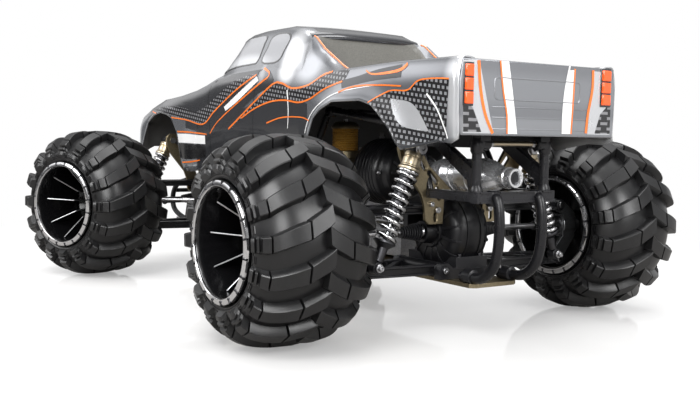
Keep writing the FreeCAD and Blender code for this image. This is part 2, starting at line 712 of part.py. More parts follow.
def tower():
    """V-shaped plate that carries the shocks and the back ends of the upper hinge pins."""
    body = new_body("tower")
    pad(body, "XZ", tower_outline(), "tower_thick", "tower_near + tower_thick / 2")
    for side in (1, -1):
        pocket(body, "XZ", None, 20, "tower_near", holes=[
            (f"{side} * shock_top_x", "shock_top_z", "pin_radius"),
            (f"{side} * arm_in_x", "upper_z", "pin_radius"),
            (f"{side} * 12", "hub_z + 36", "1.5"),
        ])
        pocket(body, "XZ", [
            (f"{side} * (arm_in_x - 1)", "hub_z + 40"), (f"{side} * (arm_in_x + 5)", "hub_z + 52"),
            (f"{side} * (arm_in_x + 2)", "hub_z + 58"), (f"{side} * (arm_in_x - 4)", "hub_z + 48"),
        ], 20, "tower_near")
    return body


def tower_outline():
    """Corners of the shock tower plate."""
    half = [
        ("13", "hub_z + 38"), ("arm_in_x + 10", "hub_z + 66"),
        ("shock_top_x - 8", "shock_top_z + 9"), ("shock_top_x + 4", "shock_top_z + 9"),
        ("shock_top_x + 9", "shock_top_z"), ("shock_top_x + 4", "shock_top_z - 10"),
        ("arm_in_x + 24", "hub_z + 60"), ("arm_in_x + 7", "hub_z + 43"),
        ("arm_in_x + 12", "hub_z + 28"), ("arm_in_x + 10", "hub_z + 9"),
        ("drum_half + 1", "hub_z + 9"), ("drum_half + 1", "hub_z + 34"),
    ]
    return both_sides(half)


def axle_fasteners():
    """Hinge pins, shock bolts and tower screws of one axle, as separate solids."""
    solids = []
    lower_length = "lower_front + lower_back + 2 * block_depth + 3"
    lower_start = "-lower_front - block_gap - block_depth - 1"
    upper_length = "upper_front + tower_near + tower_thick + 12"
    bolt_length = "shock_y - tower_near + 9"
    for side in (1, -1):
        inner, top, screw_x = f"{side} * arm_in_x", f"{side} * shock_top_x", f"{side} * 12"
        solids.append(rod("y", "pin_radius", lower_length, inner, lower_start, "lower_z"))
        solids.append(rod("y", "pin_radius", upper_length, inner, "-upper_front - 8", "upper_z"))
        bolt = rod("y", "pin_radius", bolt_length, top, "tower_near", "shock_top_z")
        head = rod("y", "pin_radius + 2.5", 3, top, "shock_y + 7", "shock_top_z")
        washer = rod("y", "pin_radius + 3", 2, top, "tower_near - 2", "shock_top_z")
        solids.append(fuse(bolt, head, washer))
        screw = rod("y", "1.5", 10, screw_x, "tower_near + tower_thick - 10", "hub_z + 36")
        screw_head = rod("y", "3", "2", screw_x, "tower_near + tower_thick", "hub_z + 36")
        solids.append(fuse(screw, screw_head))
    return group(*solids)


# ---------------------------------------------------------------- steering, made at rest angle

def steered(length, x, y):
    """The end of an arm of the given length, pointing rearward when straight, turned to the rest angle."""
    return (f"{x} - {length} * sin(steer_rest * 1deg)", f"{y} + {length} * cos(steer_rest * 1deg)")


def crank_post_y():
    """Where the steering cranks' posts stand."""
    return "(-wheelbase / 2 + crank_y)"


def bellcrank(name, side, servo_arm):
    """Crank on a post, with a second arm on the left for the servo link."""
    hub = rod("z", "8", "12", 0, 0, "link_low + link_thick")
    arm = box("-5", "5", 0, "crank_arm + 4", "link_low + link_thick", "link_low + link_thick + 4")
    stud = rod("z", "2", "link_thick + 2", 0, "crank_arm", "link_low - 1")
    solids = [hub, arm, stud]
    if servo_arm:
        solids.append(box("0", "24", "-4", "4", "link_low + link_thick + 5", "link_low + link_thick + 10"))
    bore = rod("z", "pin_radius + 1 + run_gap", "40", 0, 0, "link_low - 10")
    crank = group(cut(fuse(*solids), bore))
    return place(node(name, crank), f"{side} * crank_x", crank_post_y(), 0, Z_AXIS, "steer_rest")


def drag_link():
    """Cross bar on the two cranks, with studs below it for the track rods."""
    swing_x, link_y = steered("crank_arm", "0", crank_post_y())
    bar = box("-arm_in_x - 5", "arm_in_x + 5", "-5", "5", "link_low", "link_low + link_thick - 0.4")
    studs = [rod("z", "2", "link_low - rod_z + 5", f"{s} * arm_in_x", 0, "rod_z - 5") for s in (1, -1)]
    holes = [rod("z", "2 + run_gap", "20", f"{s} * crank_x", 0, "link_low - 5") for s in (1, -1)]
    made = group(cut(fuse(bar, *studs), *holes))
    return place(node("drag_link", made), swing_x, link_y, 0)


def track_rod(name, side):
    """Turnbuckle from the drag link's stud to the knuckle arm's stud, with an eye at each end."""
    delta = cell("crank_y")
    reach = cell("arm_out_x") - cell("arm_in_x")
    angle = math.degrees(math.atan2(-delta, reach))
    length = math.hypot(delta, reach)
    shaft = rod("x", "rod_radius", length, 0, 0, "rod_z")
    middle = rod("x", "rod_radius + 1.4", 16, length / 2 - 8, 0, "rod_z")
    eyes = [rod("z", "5.5", "5", x, 0, "rod_z - 2.5") for x in (0, length)]
    holes = [rod("z", "2.9", "20", x, 0, "rod_z - 10") for x in (0, length)]
    made = group(cut(fuse(shaft, middle, *eyes), *holes))
    swing_x, link_y = steered("crank_arm", "0", crank_post_y())
    turn = angle if side > 0 else 180 - angle
    return place(node(name, made), f"{swing_x} + {side} * arm_in_x", link_y, 0, Z_AXIS, turn)


# ---------------------------------------------------------------- chassis, engine and bumpers

def chassis_plate():
    """Flat plate, narrow under the gearboxes, with two windows and the steering posts."""
    body = new_body("chassis_plate")
    pad(body, "XY", both_sides([
        ("nose_half - 8", "-plate_end"), ("nose_half", "-plate_end + 20"), ("nose_half", "-wheelbase / 2 + 46"),
        ("plate_half", "-guard_end - 4"), ("plate_half", "guard_end + 4"), ("nose_half", "wheelbase / 2 - 46"),
        ("nose_half", "plate_end - 20"), ("nose_half - 8", "plate_end"),
    ]), "plate_thick", "plate_low + plate_thick / 2")
    for y in (-60, 40):
        pocket(body, "XY", [(-30, y), (-16, y), (-16, y + 50), (-30, y + 50)], 20, "plate_low")
    post_length = "link_low - plate_low - plate_thick + 20"
    posts = []
    for side in (1, -1):
        posts.append(rod("z", "pin_radius + 1", post_length, f"{side} * crank_x", crank_post_y(),
                         "plate_low + plate_thick"))
    return node("chassis_plate", group(body, *posts))


def side_guards():
    """Upright guards along both edges of the chassis plate."""
    guard = new_body("side_guard")
    pad(guard, "YZ", [
        ("-guard_end", "plate_low + 2"), ("guard_end", "plate_low + 2"), ("guard_end - 16", "guard_top"),
        ("-guard_end + 16", "guard_top"),
    ], "guard_thick", "plate_half + guard_thick / 2")
    pocket(guard, "YZ", [
        ("-guard_end + 30", "plate_low + 12"), ("guard_end - 30", "plate_low + 12"),
        ("guard_end - 36", "guard_top - 7"), ("-guard_end + 36", "guard_top - 7"),
    ], "5", "plate_half + guard_thick")
    return node("side_guards", group(guard, mirror(guard, X_AXIS)))


def engine():
    """Two-stroke engine beside the centre shaft: crankcase, finned cylinder, carburettor, and the gear case."""
    case = box(-52, -8, 62, 168, "plate_low + plate_thick", 112)
    fins = []
    for level in range(7):
        fins.append(box(-48, -10, 76, 122, 116 + 9 * level, 120 + 9 * level))
    core = rod("z", 16, 70, -29, 99, 110)
    plug = rod("z", 4, 16, -29, 99, 178)
    bore = rod("y", "prop_radius + run_gap", 60, 0, 0, "hub_z")
    gear_case = cut(box(-16, 30, 4, 54, "plate_low + plate_thick", 122), bore)
    carburettor = box(4, 36, 80, 110, 130, 164)
    manifold = rod("x", 8, 16, -10, 95, 147)
    block = fuse(case, core, *fins, plug)
    return node("engine", group(block, gear_case, fuse(carburettor, manifold), *air_filter()))


def fan_shroud():
    """Cooling fan housing with the recoil starter's cover at its rear."""
    drum = rod("y", 36, 44, -4, 128, 150)
    cover = rod("y", 29, 12, -4, 172, 150)
    spout = box(-40, -14, 150, 172, 112, 124)
    vents = []
    for step in range(6):
        angle = math.radians(60 * step)
        vents.append(rod("y", 5, 14, -4 + 17 * math.cos(angle), 174, 150 + 17 * math.sin(angle)))
    inside = rod("y", 32, 40, -4, 124, 150)
    return node("fan_shroud", cut(fuse(drum, cover, spout), inside, *vents))


def pull_handle():
    """Recoil starter's T-handle, resting against the side of the shroud."""
    grip = rod("y", 4, 26, -50, 148, 118)
    stem = rod("x", 3, 8, -49, 161, 118)
    return node("pull_handle", fuse(grip, stem))


def air_filter():
    """Filter foam between its base ring and lid."""
    foam = rod("z", 15, 24, 20, 95, 173)
    lid = cone("z", 16.5, 12, 8, 20, 95, 197)
    base = rod("z", 17, 9, 20, 95, 164)
    return base, foam, lid


def fuel_tank():
    """Rounded tank with a screw cap."""
    body = new_body("tank")
    block = pad(body, "XY", [(10, -150), (50, -150), (50, -62), (10, -62)], 72, 89)
    DOC.recompute()
    soft = body.newObject("PartDesign::Fillet", "Rounded")
    soft.Base = (block, [f"Edge{i + 1}" for i in range(len(block.Shape.Edges))])
    soft.Radius = 6
    cap = fuse(rod("z", 12, 8, 30, -90, 125), rod("z", 14, 3, 30, -90, 133))
    return node("fuel_tank", group(body, cap))


def radio_tray():
    """Receiver and battery boxes with the steering servo in front of them."""
    receiver = box(-50, -10, -150, -90, "plate_low + plate_thick", 96)
    battery = box(-50, -10, -84, -30, "plate_low + plate_thick", 88)
    servo = box(-50, -12, -203, -158, "plate_low + plate_thick", 86)
    ears = box(-50, -12, -207.5, -153, 76, 79)
    horn = rod("z", 6, 4, -30, -190, 86)
    return node("radio_tray", group(receiver, battery, fuse(servo, ears, horn)))


def centre_drive():
    """The two propeller shafts that leave the gear case."""
    front = rod("y", "prop_radius", "wheelbase / 2 - drum_radius - 2.5", 0,
                "-wheelbase / 2 + drum_radius + 3.5", "hub_z")
    rear = rod("y", "prop_radius", "wheelbase / 2 - drum_radius - 3.5 - 30", 0, 30, "hub_z")
    return node("centre_drive", fuse(front, rear, rod("y", "prop_radius", 40, 0, 0, "hub_z")))


def exhaust_pipe():
    """Header from the cylinder, then a silencer can that runs out between the rear shocks."""
    z, can = cell("muffler_z"), cell("muffler_radius")
    bends = [Vector(-54.3, 100, z), Vector(-60, 140, z + 4), Vector(-56, 192, z + 2), Vector(-18, 214, z),
             Vector(0, 226, z)]
    solids = run(bends, 6)
    solids += [
        Part.makeCone(6, can, 12, Vector(0, 218, z), Y_AXIS),
        Part.makeCylinder(can, 94, Vector(0, 230, z), Y_AXIS),
        Part.makeCone(can, 7.5, 14, Vector(0, 324, z), Y_AXIS),
        Part.makeCylinder(6.2, 21, Vector(0, 326, z), Y_AXIS),
    ]
    pipe = feature_of(solids)
    return node("exhaust_pipe", cut(pipe, rod("y", 4.6, 20, 0, 330, "muffler_z")))


def roll_cage():
    """Tube frame that carries the body shell, with its rear posts and body mounts."""
    radius = cell("tube_radius")
    x, px, py = cell("cage_x"), cell("post_x"), cell("post_y")
    top = cell("bed_floor") - 37
    foot = cell("bumper_z") + 4.6 + radius
    solids = []
    for s in (1, -1):
        solids += run([Vector(s * 48.5, -4, 55.2), Vector(s * x, 120, 217), Vector(s * px, 226, top + 4),
                       Vector(s * px, py - 6, foot)], radius)
        solids += run([Vector(s * px, 226, top + 4), Vector(s * px, py, top - 6), Vector(s * px, py, foot)],
                      radius)
        mount = Vector(s * 30, py, top - 6)
        solids.append(Part.makeCylinder(3.5, cell("bed_floor") + 12 - top, mount, Z_AXIS))
    solids += run([Vector(-x, 120, 217), Vector(x, 120, 217)], radius)
    solids += run([Vector(-px, py, top - 6), Vector(px, py, top - 6)], radius)
    return node("roll_cage", feature_of(solids))


def arc_run(start, corner, end, bend, radius):
    """A tube from start to end through a rounded corner."""
    into, out = (corner - start).normalize(), (end - corner).normalize()
    first, last = corner - into * bend, corner + out * bend
    middle = corner + (out - into) * bend * (1 - 1 / math.sqrt(2))
    path = Part.Wire([Part.LineSegment(start, first).toShape(), Part.Arc(first, middle, last).toShape(),
                      Part.LineSegment(last, end).toShape()])
    section = Part.Wire(Part.makeCircle(radius, start, into))
    return path.makePipeShell([section], True, True)


def rear_bumper():
    """Cross bar on two side bars, with two loops that curve down to the chassis plate."""
    z, y = cell("bumper_z"), cell("bumper_y")
    px, lx, ly, radius = cell("post_x"), cell("loop_x"), cell("loop_y"), cell("tube_radius") + 0.5
    front = num("wheelbase / 2 + tower_near + tower_thick + 2 * run_gap")
    solids = []
    for s in (1, -1):
        solids.append(Part.makeBox(7, y - front, 9, Vector(s * px - 3.5, front, z - 4.5)))
        corner = Vector(s * lx, ly, 56)
        solids.append(arc_run(Vector(s * lx, ly, z + 1), corner, Vector(s * lx, 316, 56), 36, radius))
        solids.append(Part.makeBox(8, 12, 8, Vector(s * lx - 4, y - 2, z - 4)))
    solids.append(Part.makeBox(2 * px + 7, 9, 9, Vector(-px - 3.5, y - 6, z - 4.5)))
    return node("rear_bumper", feature_of(solids))


def front_bumper():
    """Bumper bar on two arms from the chassis plate, with a short hoop above it."""
    y = cell("tailgate_y")
    radius = cell("tube_radius") + 1
    solids = []
    for s in (1, -1):
        solids += run([Vector(s * 20, -322, 56), Vector(s * 24, -y + 26, 84)], radius)
        solids += run([Vector(s * 24, -y + 26, 84), Vector(s * 24, -y + 26, 116)], radius)
    bar = [Vector(-70, -y + 34, 84), Vector(-50, -y + 22, 84), Vector(50, -y + 22, 84), Vector(70, -y + 34, 84)]
    solids += run(bar, radius + 2)
    solids += run([Vector(-24, -y + 26, 116), Vector(24, -y + 26, 116)], radius)
    solids.append(Part.makeBox(90, 12, 22, Vector(-45, -y, 74)))
    return node("front_bumper", feature_of(solids))


# ---------------------------------------------------------------- body shell

def shell_solid(name, inset):
    """The pickup body as a solid, with every outer face drawn in by inset."""
    body = new_body(name)
    half, gap = "shell_half", inset
    pad(body, "YZ", [
        ("-364 + " + gap, "165 - 60 * " + gap), ("-360 + " + gap, f"225 - {gap}"), ("-335", f"240 - {gap}"),
        ("-240", f"249 - {gap}"), ("-100", f"belt_z - {gap}"), (f"tailgate_y - {gap}", f"258 - {gap}"),
        (f"tailgate_y - {gap}", "193 - 60 * " + gap), ("328", "180 - 60 * " + gap),
        ("150", "150 - 60 * " + gap),
        ("-196", "137 - 60 * " + gap), ("-345", "150 - 60 * " + gap),
    ], f"2 * ({half} - {gap})")
    cab = body.newObject("PartDesign::AdditiveLoft", "Cab")
    low = sketch_on(body, "XY", f"belt_z - 4 - {gap}")
    outline(low, both_sides([(f"{half} - 1 - {gap}", f"-104 + {gap}"), (f"{half} - 1 - {gap}", f"140 - {gap}")]))
    high = sketch_on(body, "XY", f"roof_z - {gap}")
    outline(high, both_sides([(f"68 - {gap}", f"-50 + {gap}"), (f"68 - {gap}", f"112 - {gap}")]))
    cab.Profile = low
    cab.Sections = [high]
    pocket(body, "XY", both_sides([
        (f"{half} - 8 + {gap}", f"bed_front - {gap}"), (f"{half} - 8 + {gap}", f"tailgate_y - 7 + {gap}"),
    ]), 60, f"bed_floor + 30 - {gap}")
    return body


def body_shell():
    """Thin vacuum-formed pickup body, open below, with wheel arches and post holes."""
    outer = shell_solid("shell_outside", "0")
    inner = shell_solid("shell_inside", "shell_wall")
    thin = cut(outer, inner)
    arches = []
    for y, low, height, reach in ((-278, 130, 212, 62), (236, 120, 223, 78)):
        arches.append(rod("x", reach, 260, -130, y, height - reach))
        arches.append(box(-130, 130, y - reach, y + reach, low - 40, height - reach))
    posts = [rod("z", 4.5, 40, f"{s} * 30", "post_y", "bed_floor - 20") for s in (1, -1)]
    return node("body_shell", cut(thin, *arches, *posts))


# ---------------------------------------------------------------- assembly

CORNERS = (("rear_left", 1, 1), ("rear_right", -1, 1), ("front_left", 1, -1), ("front_right", -1, -1))


def at_corners(piece, build, ends=(1, -1)):
    """One piece made at the rear left, mirrored to the other corners."""
    first = moved(build(), 0, "wheelbase / 2", 0)
    copies = {(1, 1): first}
    copies[(-1, 1)] = mirror(first, X_AXIS)
    copies[(1, -1)] = mirror(first, Y_AXIS)
    copies[(-1, -1)] = mirror(copies[(1, -1)], X_AXIS)
    for corner, side, end in CORNERS:
        if end in ends:
            node(f"{piece}_{corner}", copies[(side, end)])


def front_hubs():
    """Both front hub carriers, and the knuckles turned to the rest angle."""
    carrier = moved(front_carrier(), 0, "-wheelbase / 2", 0)
    node("hub_carrier_front_left", carrier)
    node("hub_carrier_front_right", mirror(carrier, X_AXIS))
    straight = knuckle()
    other = mirror(straight, X_AXIS)
    for corner, side, source in (("front_left", 1, straight), ("front_right", -1, other)):
        turned = moved(source, f"{side} * arm_out_x", "-wheelbase / 2", 0, Z_AXIS, "steer_rest")
        node(f"steering_knuckle_{corner}", turned)


def build():
    """Makes every sub-part."""
    fill_sheet()
    for corner, side, end in CORNERS:
        tyre(f"tyre_{corner}", side, end)
        rim(f"rim_{corner}", side, end)
    at_corners("lower_arm", lower_arm)
    at_corners("upper_arm", upper_arm)
    at_corners("hub_carrier", hub_carrier, ends=(1,))
    front_hubs()
    at_corners("shock_body", shock_body)
    at_corners("shock_rod", shock_rod)
    at_corners("spring", spring)
    at_corners("drive_shaft", drive_shaft)
    rear_case = node("rear_gearbox", moved(gearbox(), 0, "wheelbase / 2", 0))
    node("front_gearbox", mirror(rear_case, Y_AXIS))
    rear_tower = moved(tower(), 0, "wheelbase / 2", 0)
    node("shock_towers", group(rear_tower, mirror(rear_tower, Y_AXIS)))
    rear_pins = moved(axle_fasteners(), 0, "wheelbase / 2", 0)
    node("fasteners", group(rear_pins, mirror(rear_pins, Y_AXIS)))
    bellcrank("bellcrank_left", 1, True)
    bellcrank("bellcrank_right", -1, False)
    drag_link()
    track_rod("track_rod_left", 1)
    track_rod("track_rod_right", -1)
    for make in (chassis_plate, side_guards, engine, fan_shroud, pull_handle, fuel_tank, radio_tray,
                 centre_drive, exhaust_pipe, roll_cage, rear_bumper, front_bumper, body_shell):
        make()
    DOC.recompute()


def check():
    """Stops on any failed feature or empty, invalid or open sub-part."""
    for feature in DOC.Objects:
        if "Invalid" in feature.State or "Error" in feature.State:
            raise RuntimeError(f"{feature.Name} ({feature.Label}) failed: {feature.State}")
    for name, feature in NODES.items():
        shape = feature.Shape
        if shape.isNull() or not shape.isValid() or not shape.Solids or shape.Volume <= 0:
            raise RuntimeError(f"sub-part {name} has no valid solid")


def export():
    """Writes every sub-part to its own STEP file."""
    os.makedirs("parts", exist_ok=True)
    for name, feature in NODES.items():
        feature.Shape.exportStep(f"parts/{name}.step")
    print(len(NODES), "sub-parts written")


build()
check()
export()
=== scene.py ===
"""Looks of the radio-controlled monster truck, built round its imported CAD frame.

Lengths here are in millimetres and become metres when a mesh is made. +X is the truck's left, +Y its rear.
"""
import bmesh
import bpy
import json
import math
from mathutils import Matrix, Vector
from mathutils.bvhtree import BVHTree


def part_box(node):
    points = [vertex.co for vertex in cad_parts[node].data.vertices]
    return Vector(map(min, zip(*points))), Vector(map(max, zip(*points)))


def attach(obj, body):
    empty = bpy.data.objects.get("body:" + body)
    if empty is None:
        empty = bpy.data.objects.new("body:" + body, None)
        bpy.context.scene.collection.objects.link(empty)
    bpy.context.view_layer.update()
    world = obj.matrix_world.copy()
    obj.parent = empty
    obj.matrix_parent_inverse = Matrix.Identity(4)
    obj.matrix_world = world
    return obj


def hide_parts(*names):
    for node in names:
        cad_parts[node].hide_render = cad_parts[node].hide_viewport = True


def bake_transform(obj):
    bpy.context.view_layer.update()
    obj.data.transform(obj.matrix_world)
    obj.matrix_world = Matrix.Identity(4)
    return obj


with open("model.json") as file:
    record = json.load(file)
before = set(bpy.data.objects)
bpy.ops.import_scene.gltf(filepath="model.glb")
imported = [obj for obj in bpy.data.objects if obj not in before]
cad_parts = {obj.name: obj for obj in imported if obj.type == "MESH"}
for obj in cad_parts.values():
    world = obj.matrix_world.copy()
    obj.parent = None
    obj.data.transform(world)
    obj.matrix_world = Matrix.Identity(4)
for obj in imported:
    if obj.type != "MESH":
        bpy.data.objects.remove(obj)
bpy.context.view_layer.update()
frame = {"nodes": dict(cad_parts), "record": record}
MM = 0.001
JOINTS = {j["name"]: j for j in frame["record"]["behaviour"]["joints"]}
CORNERS = [(e + "_" + s, 1 if s == "left" else -1, 1 if e == "rear" else -1)
           for e in ("rear", "front") for s in ("left", "right")]


def lerp(a, b, t):
    """The value a share t of the way from a to b."""
    return a + (b - a) * t


def joint_at(name):
    """Where a joint of the record sits, in millimetres."""
    return Vector(JOINTS[name]["pos_m"]) / MM


def corners_mm(node):
    """Lowest and highest corner of a CAD node's box, in millimetres."""
    low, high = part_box(node)
    return Vector(low) / MM, Vector(high) / MM


# ---------------------------------------------------------------- mesh helpers

class Build:
    """Collects vertices and faces in millimetres."""

    def __init__(self):
        self.verts, self.faces, self.slots = [], [], []

    def add(self, verts, faces, slot=0):
        """Takes in points and the faces between them."""
        start = len(self.verts)
        self.verts += [Vector(v) for v in verts]
        self.faces += [tuple(start + i for i in face) for face in faces]
        self.slots += [slot] * len(faces)

    def object(self, name, materials, place=None, smooth=30, bevel=0, segments=2):
        """Makes the mesh object, in metres, with its smoothing and bevel."""
        mesh = bpy.data.meshes.new(name)
        place = place or Matrix()
        mesh.from_pydata([(place @ v) * MM for v in self.verts], [], self.faces)
        for material in materials if isinstance(materials, (list, tuple)) else [materials]:
            mesh.materials.append(material)
        for polygon, slot in zip(mesh.polygons, self.slots):
            polygon.material_index = slot
        mesh.update()
        obj = bpy.data.objects.new(name, mesh)
        bpy.context.collection.objects.link(obj)
        recalculate(mesh)
        if bevel:
            add_bevel(obj, bevel, segments)
        if smooth:
            shade(mesh, smooth)
        return obj


def recalculate(mesh):
    """Turns all faces outwards."""
    work = bmesh.new()
    work.from_mesh(mesh)
    bmesh.ops.recalc_face_normals(work, faces=work.faces)
    work.to_mesh(mesh)
    work.free()


def shade(mesh, angle):
    """Smooth shading, with edges sharper than the angle kept sharp."""
    mesh.polygons.foreach_set("use_smooth", [True] * len(mesh.polygons))
    mesh.set_sharp_from_angle(angle=math.radians(angle))


def add_bevel(obj, width, segments=2):
    """Softens the sharp edges."""
    bevel = obj.modifiers.new("Bevel", "BEVEL")
    bevel.width = width * MM
    bevel.segments = segments
    bevel.limit_method = "ANGLE"
    bevel.angle_limit = math.radians(35)
    bevel.harden_normals = False


def ring_faces(count, rows, closed_rows=False):
    """Quads between rows of points that go round."""
    faces = []
    for r in range(rows if closed_rows else rows - 1):
        n = (r + 1) % rows
        for i in range(count):
            j = (i + 1) % count
            faces.append((r * count + i, r * count + j, n * count + j, n * count + i))
    return faces


def spin(build, profile, steps=64, closed=False, slot=0):
    """Turns (x, radius) points about the X axis; a closed profile makes a ring."""
    verts = []
    for x, radius in profile:
        for k in range(steps):
            a = math.tau * k / steps
            verts.append((x, radius * math.cos(a), radius * math.sin(a)))
    faces = ring_faces(steps, len(profile), closed_rows=closed)
    if not closed:
        faces.append(tuple(range(steps)))
        last = (len(profile) - 1) * steps
        faces.append(tuple(last + k for k in reversed(range(steps))))
    build.add(verts, faces, slot)


def block(build, low, high, slot=0):
    """A box between two corners."""
    verts = []
    for z in (low[2], high[2]):
        verts += [(low[0], low[1], z), (high[0], low[1], z), (high[0], high[1], z), (low[0], high[1], z)]
    build.add(verts, [(0, 3, 2, 1), (4, 5, 6, 7), (0, 1, 5, 4), (1, 2, 6, 5), (2, 3, 7, 6), (3, 0, 4, 7)], slot)


def prism(build, outline, low, high, axis="z", place=None, slot=0):
    """Extrudes a closed 2-D outline along an axis: z uses (x, y), y uses (x, z), x uses (y, z)."""
    turn = {"z": lambda u, v, w: (u, v, w), "y": lambda u, v, w: (u, w, v), "x": lambda u, v,
            w: (w, u, v)}[axis]
    verts = [Vector(turn(u, v, w)) for w in (low, high) for u, v in outline]
    if place:
        verts = [place @ v for v in verts]
    n = len(outline)
    faces = [tuple(range(n)), tuple(reversed(range(n, 2 * n)))]
    faces += [(i, (i + 1) % n, n + (i + 1) % n, n + i) for i in range(n)]
    build.add(verts, faces, slot)


def aimed(start, end):
    """Matrix whose +X runs from start to end."""
    return Matrix.Translation(start) @ (end - start).to_track_quat("X", "Z").to_matrix().to_4x4()


def rod(build, start, end, radius, steps=20, slot=0):
    """A round bar with small edge chamfers."""
    start, end = Vector(start), Vector(end)
    length = (end - start).length
    edge = min(0.35, length / 4, radius / 2)
    profile = [(0, radius - edge), (edge, radius), (length - edge, radius), (length, radius - edge)]
    local = Build()
    spin(local, profile, steps)
    place = aimed(start, end)
    build.add([place @ v for v in local.verts], local.faces, slot)


def turned(build, start, direction, profile, steps=32, closed=False, slot=0):
    """A turned piece: (distance, radius) points along direction from start."""
    local = Build()
    spin(local, profile, steps, closed)
    place = aimed(Vector(start), Vector(start) + Vector(direction))
    build.add([place @ v for v in local.verts], local.faces, slot)


def tube(build, points, radius, steps=14, smooth_points=0, closed=False):
    """A tube through points, optionally rounded by Catmull-Rom steps."""
    points = [Vector(p) for p in points]
    if smooth_points:
        points = curve_through(points, smooth_points, closed)
    count = len(points)
    rings, side = [], None
    for i, p in enumerate(points):
        before = points[i - 1] if (i or closed) else p
        after = points[(i + 1) % count] if (i < count - 1 or closed) else p
        along = (after - before).normalized()
        if side is None:
            side = along.orthogonal().normalized()
        side = (side - along * side.dot(along)).normalized()
        other = along.cross(side)
        rings += [p + (side * math.cos(math.tau * k / steps) + other * math.sin(math.tau * k / steps)) * radius
                  for k in range(steps)]
    faces = ring_faces(steps, count, closed_rows=closed)
    if not closed:
        faces.append(tuple(range(steps)))
        faces.append(tuple((count - 1) * steps + k for k in reversed(range(steps))))
    build.add(rings, faces)


def curve_through(points, steps, closed=False):
    """Points along a smooth curve through the given ones."""
    out, n = [], len(points)
    for i in range(n if closed else n - 1):
        p0 = points[i - 1] if (i or closed) else points[0]
        p1, p2 = points[i], points[(i + 1) % n]
        p3 = points[(i + 2) % n] if (i + 2 < n or closed) else points[-1]
        for k in range(steps):
            t = k / steps
            out.append(0.5 * ((2 * p1) + (p2 - p0) * t + (2 * p0 - 5 * p1 + 4 * p2 - p3) * t * t
                              + (3 * p1 - p0 - 3 * p2 + p3) * t ** 3))
    if not closed:
        out.append(points[-1])
    return out


def cap_screw(build, at, direction, radius, slot=0):
    """A socket-head screw's head standing on a surface."""
    height = radius * 1.3
    profile = [(0, radius), (height - 0.3, radius), (height, radius - 0.4), (height, radius * 0.5),
               (height - radius * 0.7, radius * 0.48)]
    turned(build, at, direction, profile, 12, slot=slot)


def finish_piece(obj, body, slot, *nodes):
    """Ties a drawn piece to its body, in place of the CAD nodes named. The slot argument is not used."""
    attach(obj, body)
    if nodes:
        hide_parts(*nodes)
    return obj


# ---------------------------------------------------------------- materials

def material(name, color, rough=0.5, metal=0.0, noise=0.0, noise_scale=600.0, bump=0.0, bump_scale=900.0,
             coat=0.0, rough_var=0.08, wear=0.0, wear_color=(0.5, 0.5, 0.5), transmission=0.0,
             specular=0.5):
    """Principled material with colour mottling, roughness variation, fine bump and edge wear."""
    mat = bpy.data.materials.new(name)
    mat.use_nodes = True
    nodes, links = mat.node_tree.nodes, mat.node_tree.links
    shader = nodes["Principled BSDF"]
    where = nodes.new("ShaderNodeTexCoord")
    shader.inputs["Metallic"].default_value = metal
    shader.inputs["Coat Weight"].default_value = coat
    shader.inputs["Coat Roughness"].default_value = 0.06
    shader.inputs["Specular IOR Level"].default_value = specular
    shader.inputs["Transmission Weight"].default_value = transmission

    speckle = nodes.new("ShaderNodeTexNoise")
    speckle.inputs["Scale"].default_value = noise_scale
    speckle.inputs["Detail"].default_value = 6
    links.new(where.outputs["Object"], speckle.inputs["Vector"])
    ramp = nodes.new("ShaderNodeMapRange")
    ramp.inputs["From Min"].default_value = 0.3
    ramp.inputs["From Max"].default_value = 0.7
    links.new(speckle.outputs["Fac"], ramp.inputs["Value"])
    mix = nodes.new("ShaderNodeMix")
    mix.data_type = "RGBA"
    mix.inputs["A"].default_value = (*[max(0.0, c * (1 - noise)) for c in color], 1)
    mix.inputs["B"].default_value = (*[min(1.0, c * (1 + noise)) for c in color], 1)
    links.new(ramp.outputs["Result"], mix.inputs["Factor"])
    result = mix.outputs["Result"]

    patches = nodes.new("ShaderNodeTexNoise")
    patches.inputs["Scale"].default_value = 45
    patches.inputs["Detail"].default_value = 5
    links.new(where.outputs["Object"], patches.inputs["Vector"])
    rough_range = nodes.new("ShaderNodeMapRange")
    rough_range.inputs["To Min"].default_value = max(0.02, rough - rough_var)
    rough_range.inputs["To Max"].default_value = min(1.0, rough + rough_var)
    links.new(patches.outputs["Fac"], rough_range.inputs["Value"])
    links.new(rough_range.outputs["Result"], shader.inputs["Roughness"])

    if wear:
        shape = nodes.new("ShaderNodeNewGeometry")
        edge = nodes.new("ShaderNodeMapRange")
        edge.inputs["From Min"].default_value = 0.52
        edge.inputs["From Max"].default_value = 0.60
        edge.inputs["To Max"].default_value = wear
        links.new(shape.outputs["Pointiness"], edge.inputs["Value"])
        worn = nodes.new("ShaderNodeMix")
        worn.data_type = "RGBA"
        worn.inputs["B"].default_value = (*wear_color, 1)
        links.new(edge.outputs["Result"], worn.inputs["Factor"])
        links.new(result, worn.inputs["A"])
        result = worn.outputs["Result"]
    links.new(result, shader.inputs["Base Color"])

    if bump:
        grain = nodes.new("ShaderNodeTexNoise")
        grain.inputs["Scale"].default_value = bump_scale
        grain.inputs["Detail"].default_value = 4
        links.new(where.outputs["Object"], grain.inputs["Vector"])
        relief = nodes.new("ShaderNodeBump")
        relief.inputs["Strength"].default_value = bump
        relief.inputs["Distance"].default_value = 0.0004
        links.new(grain.outputs["Fac"], relief.inputs["Height"])
        links.new(relief.outputs["Normal"], shader.inputs["Normal"])
    return mat


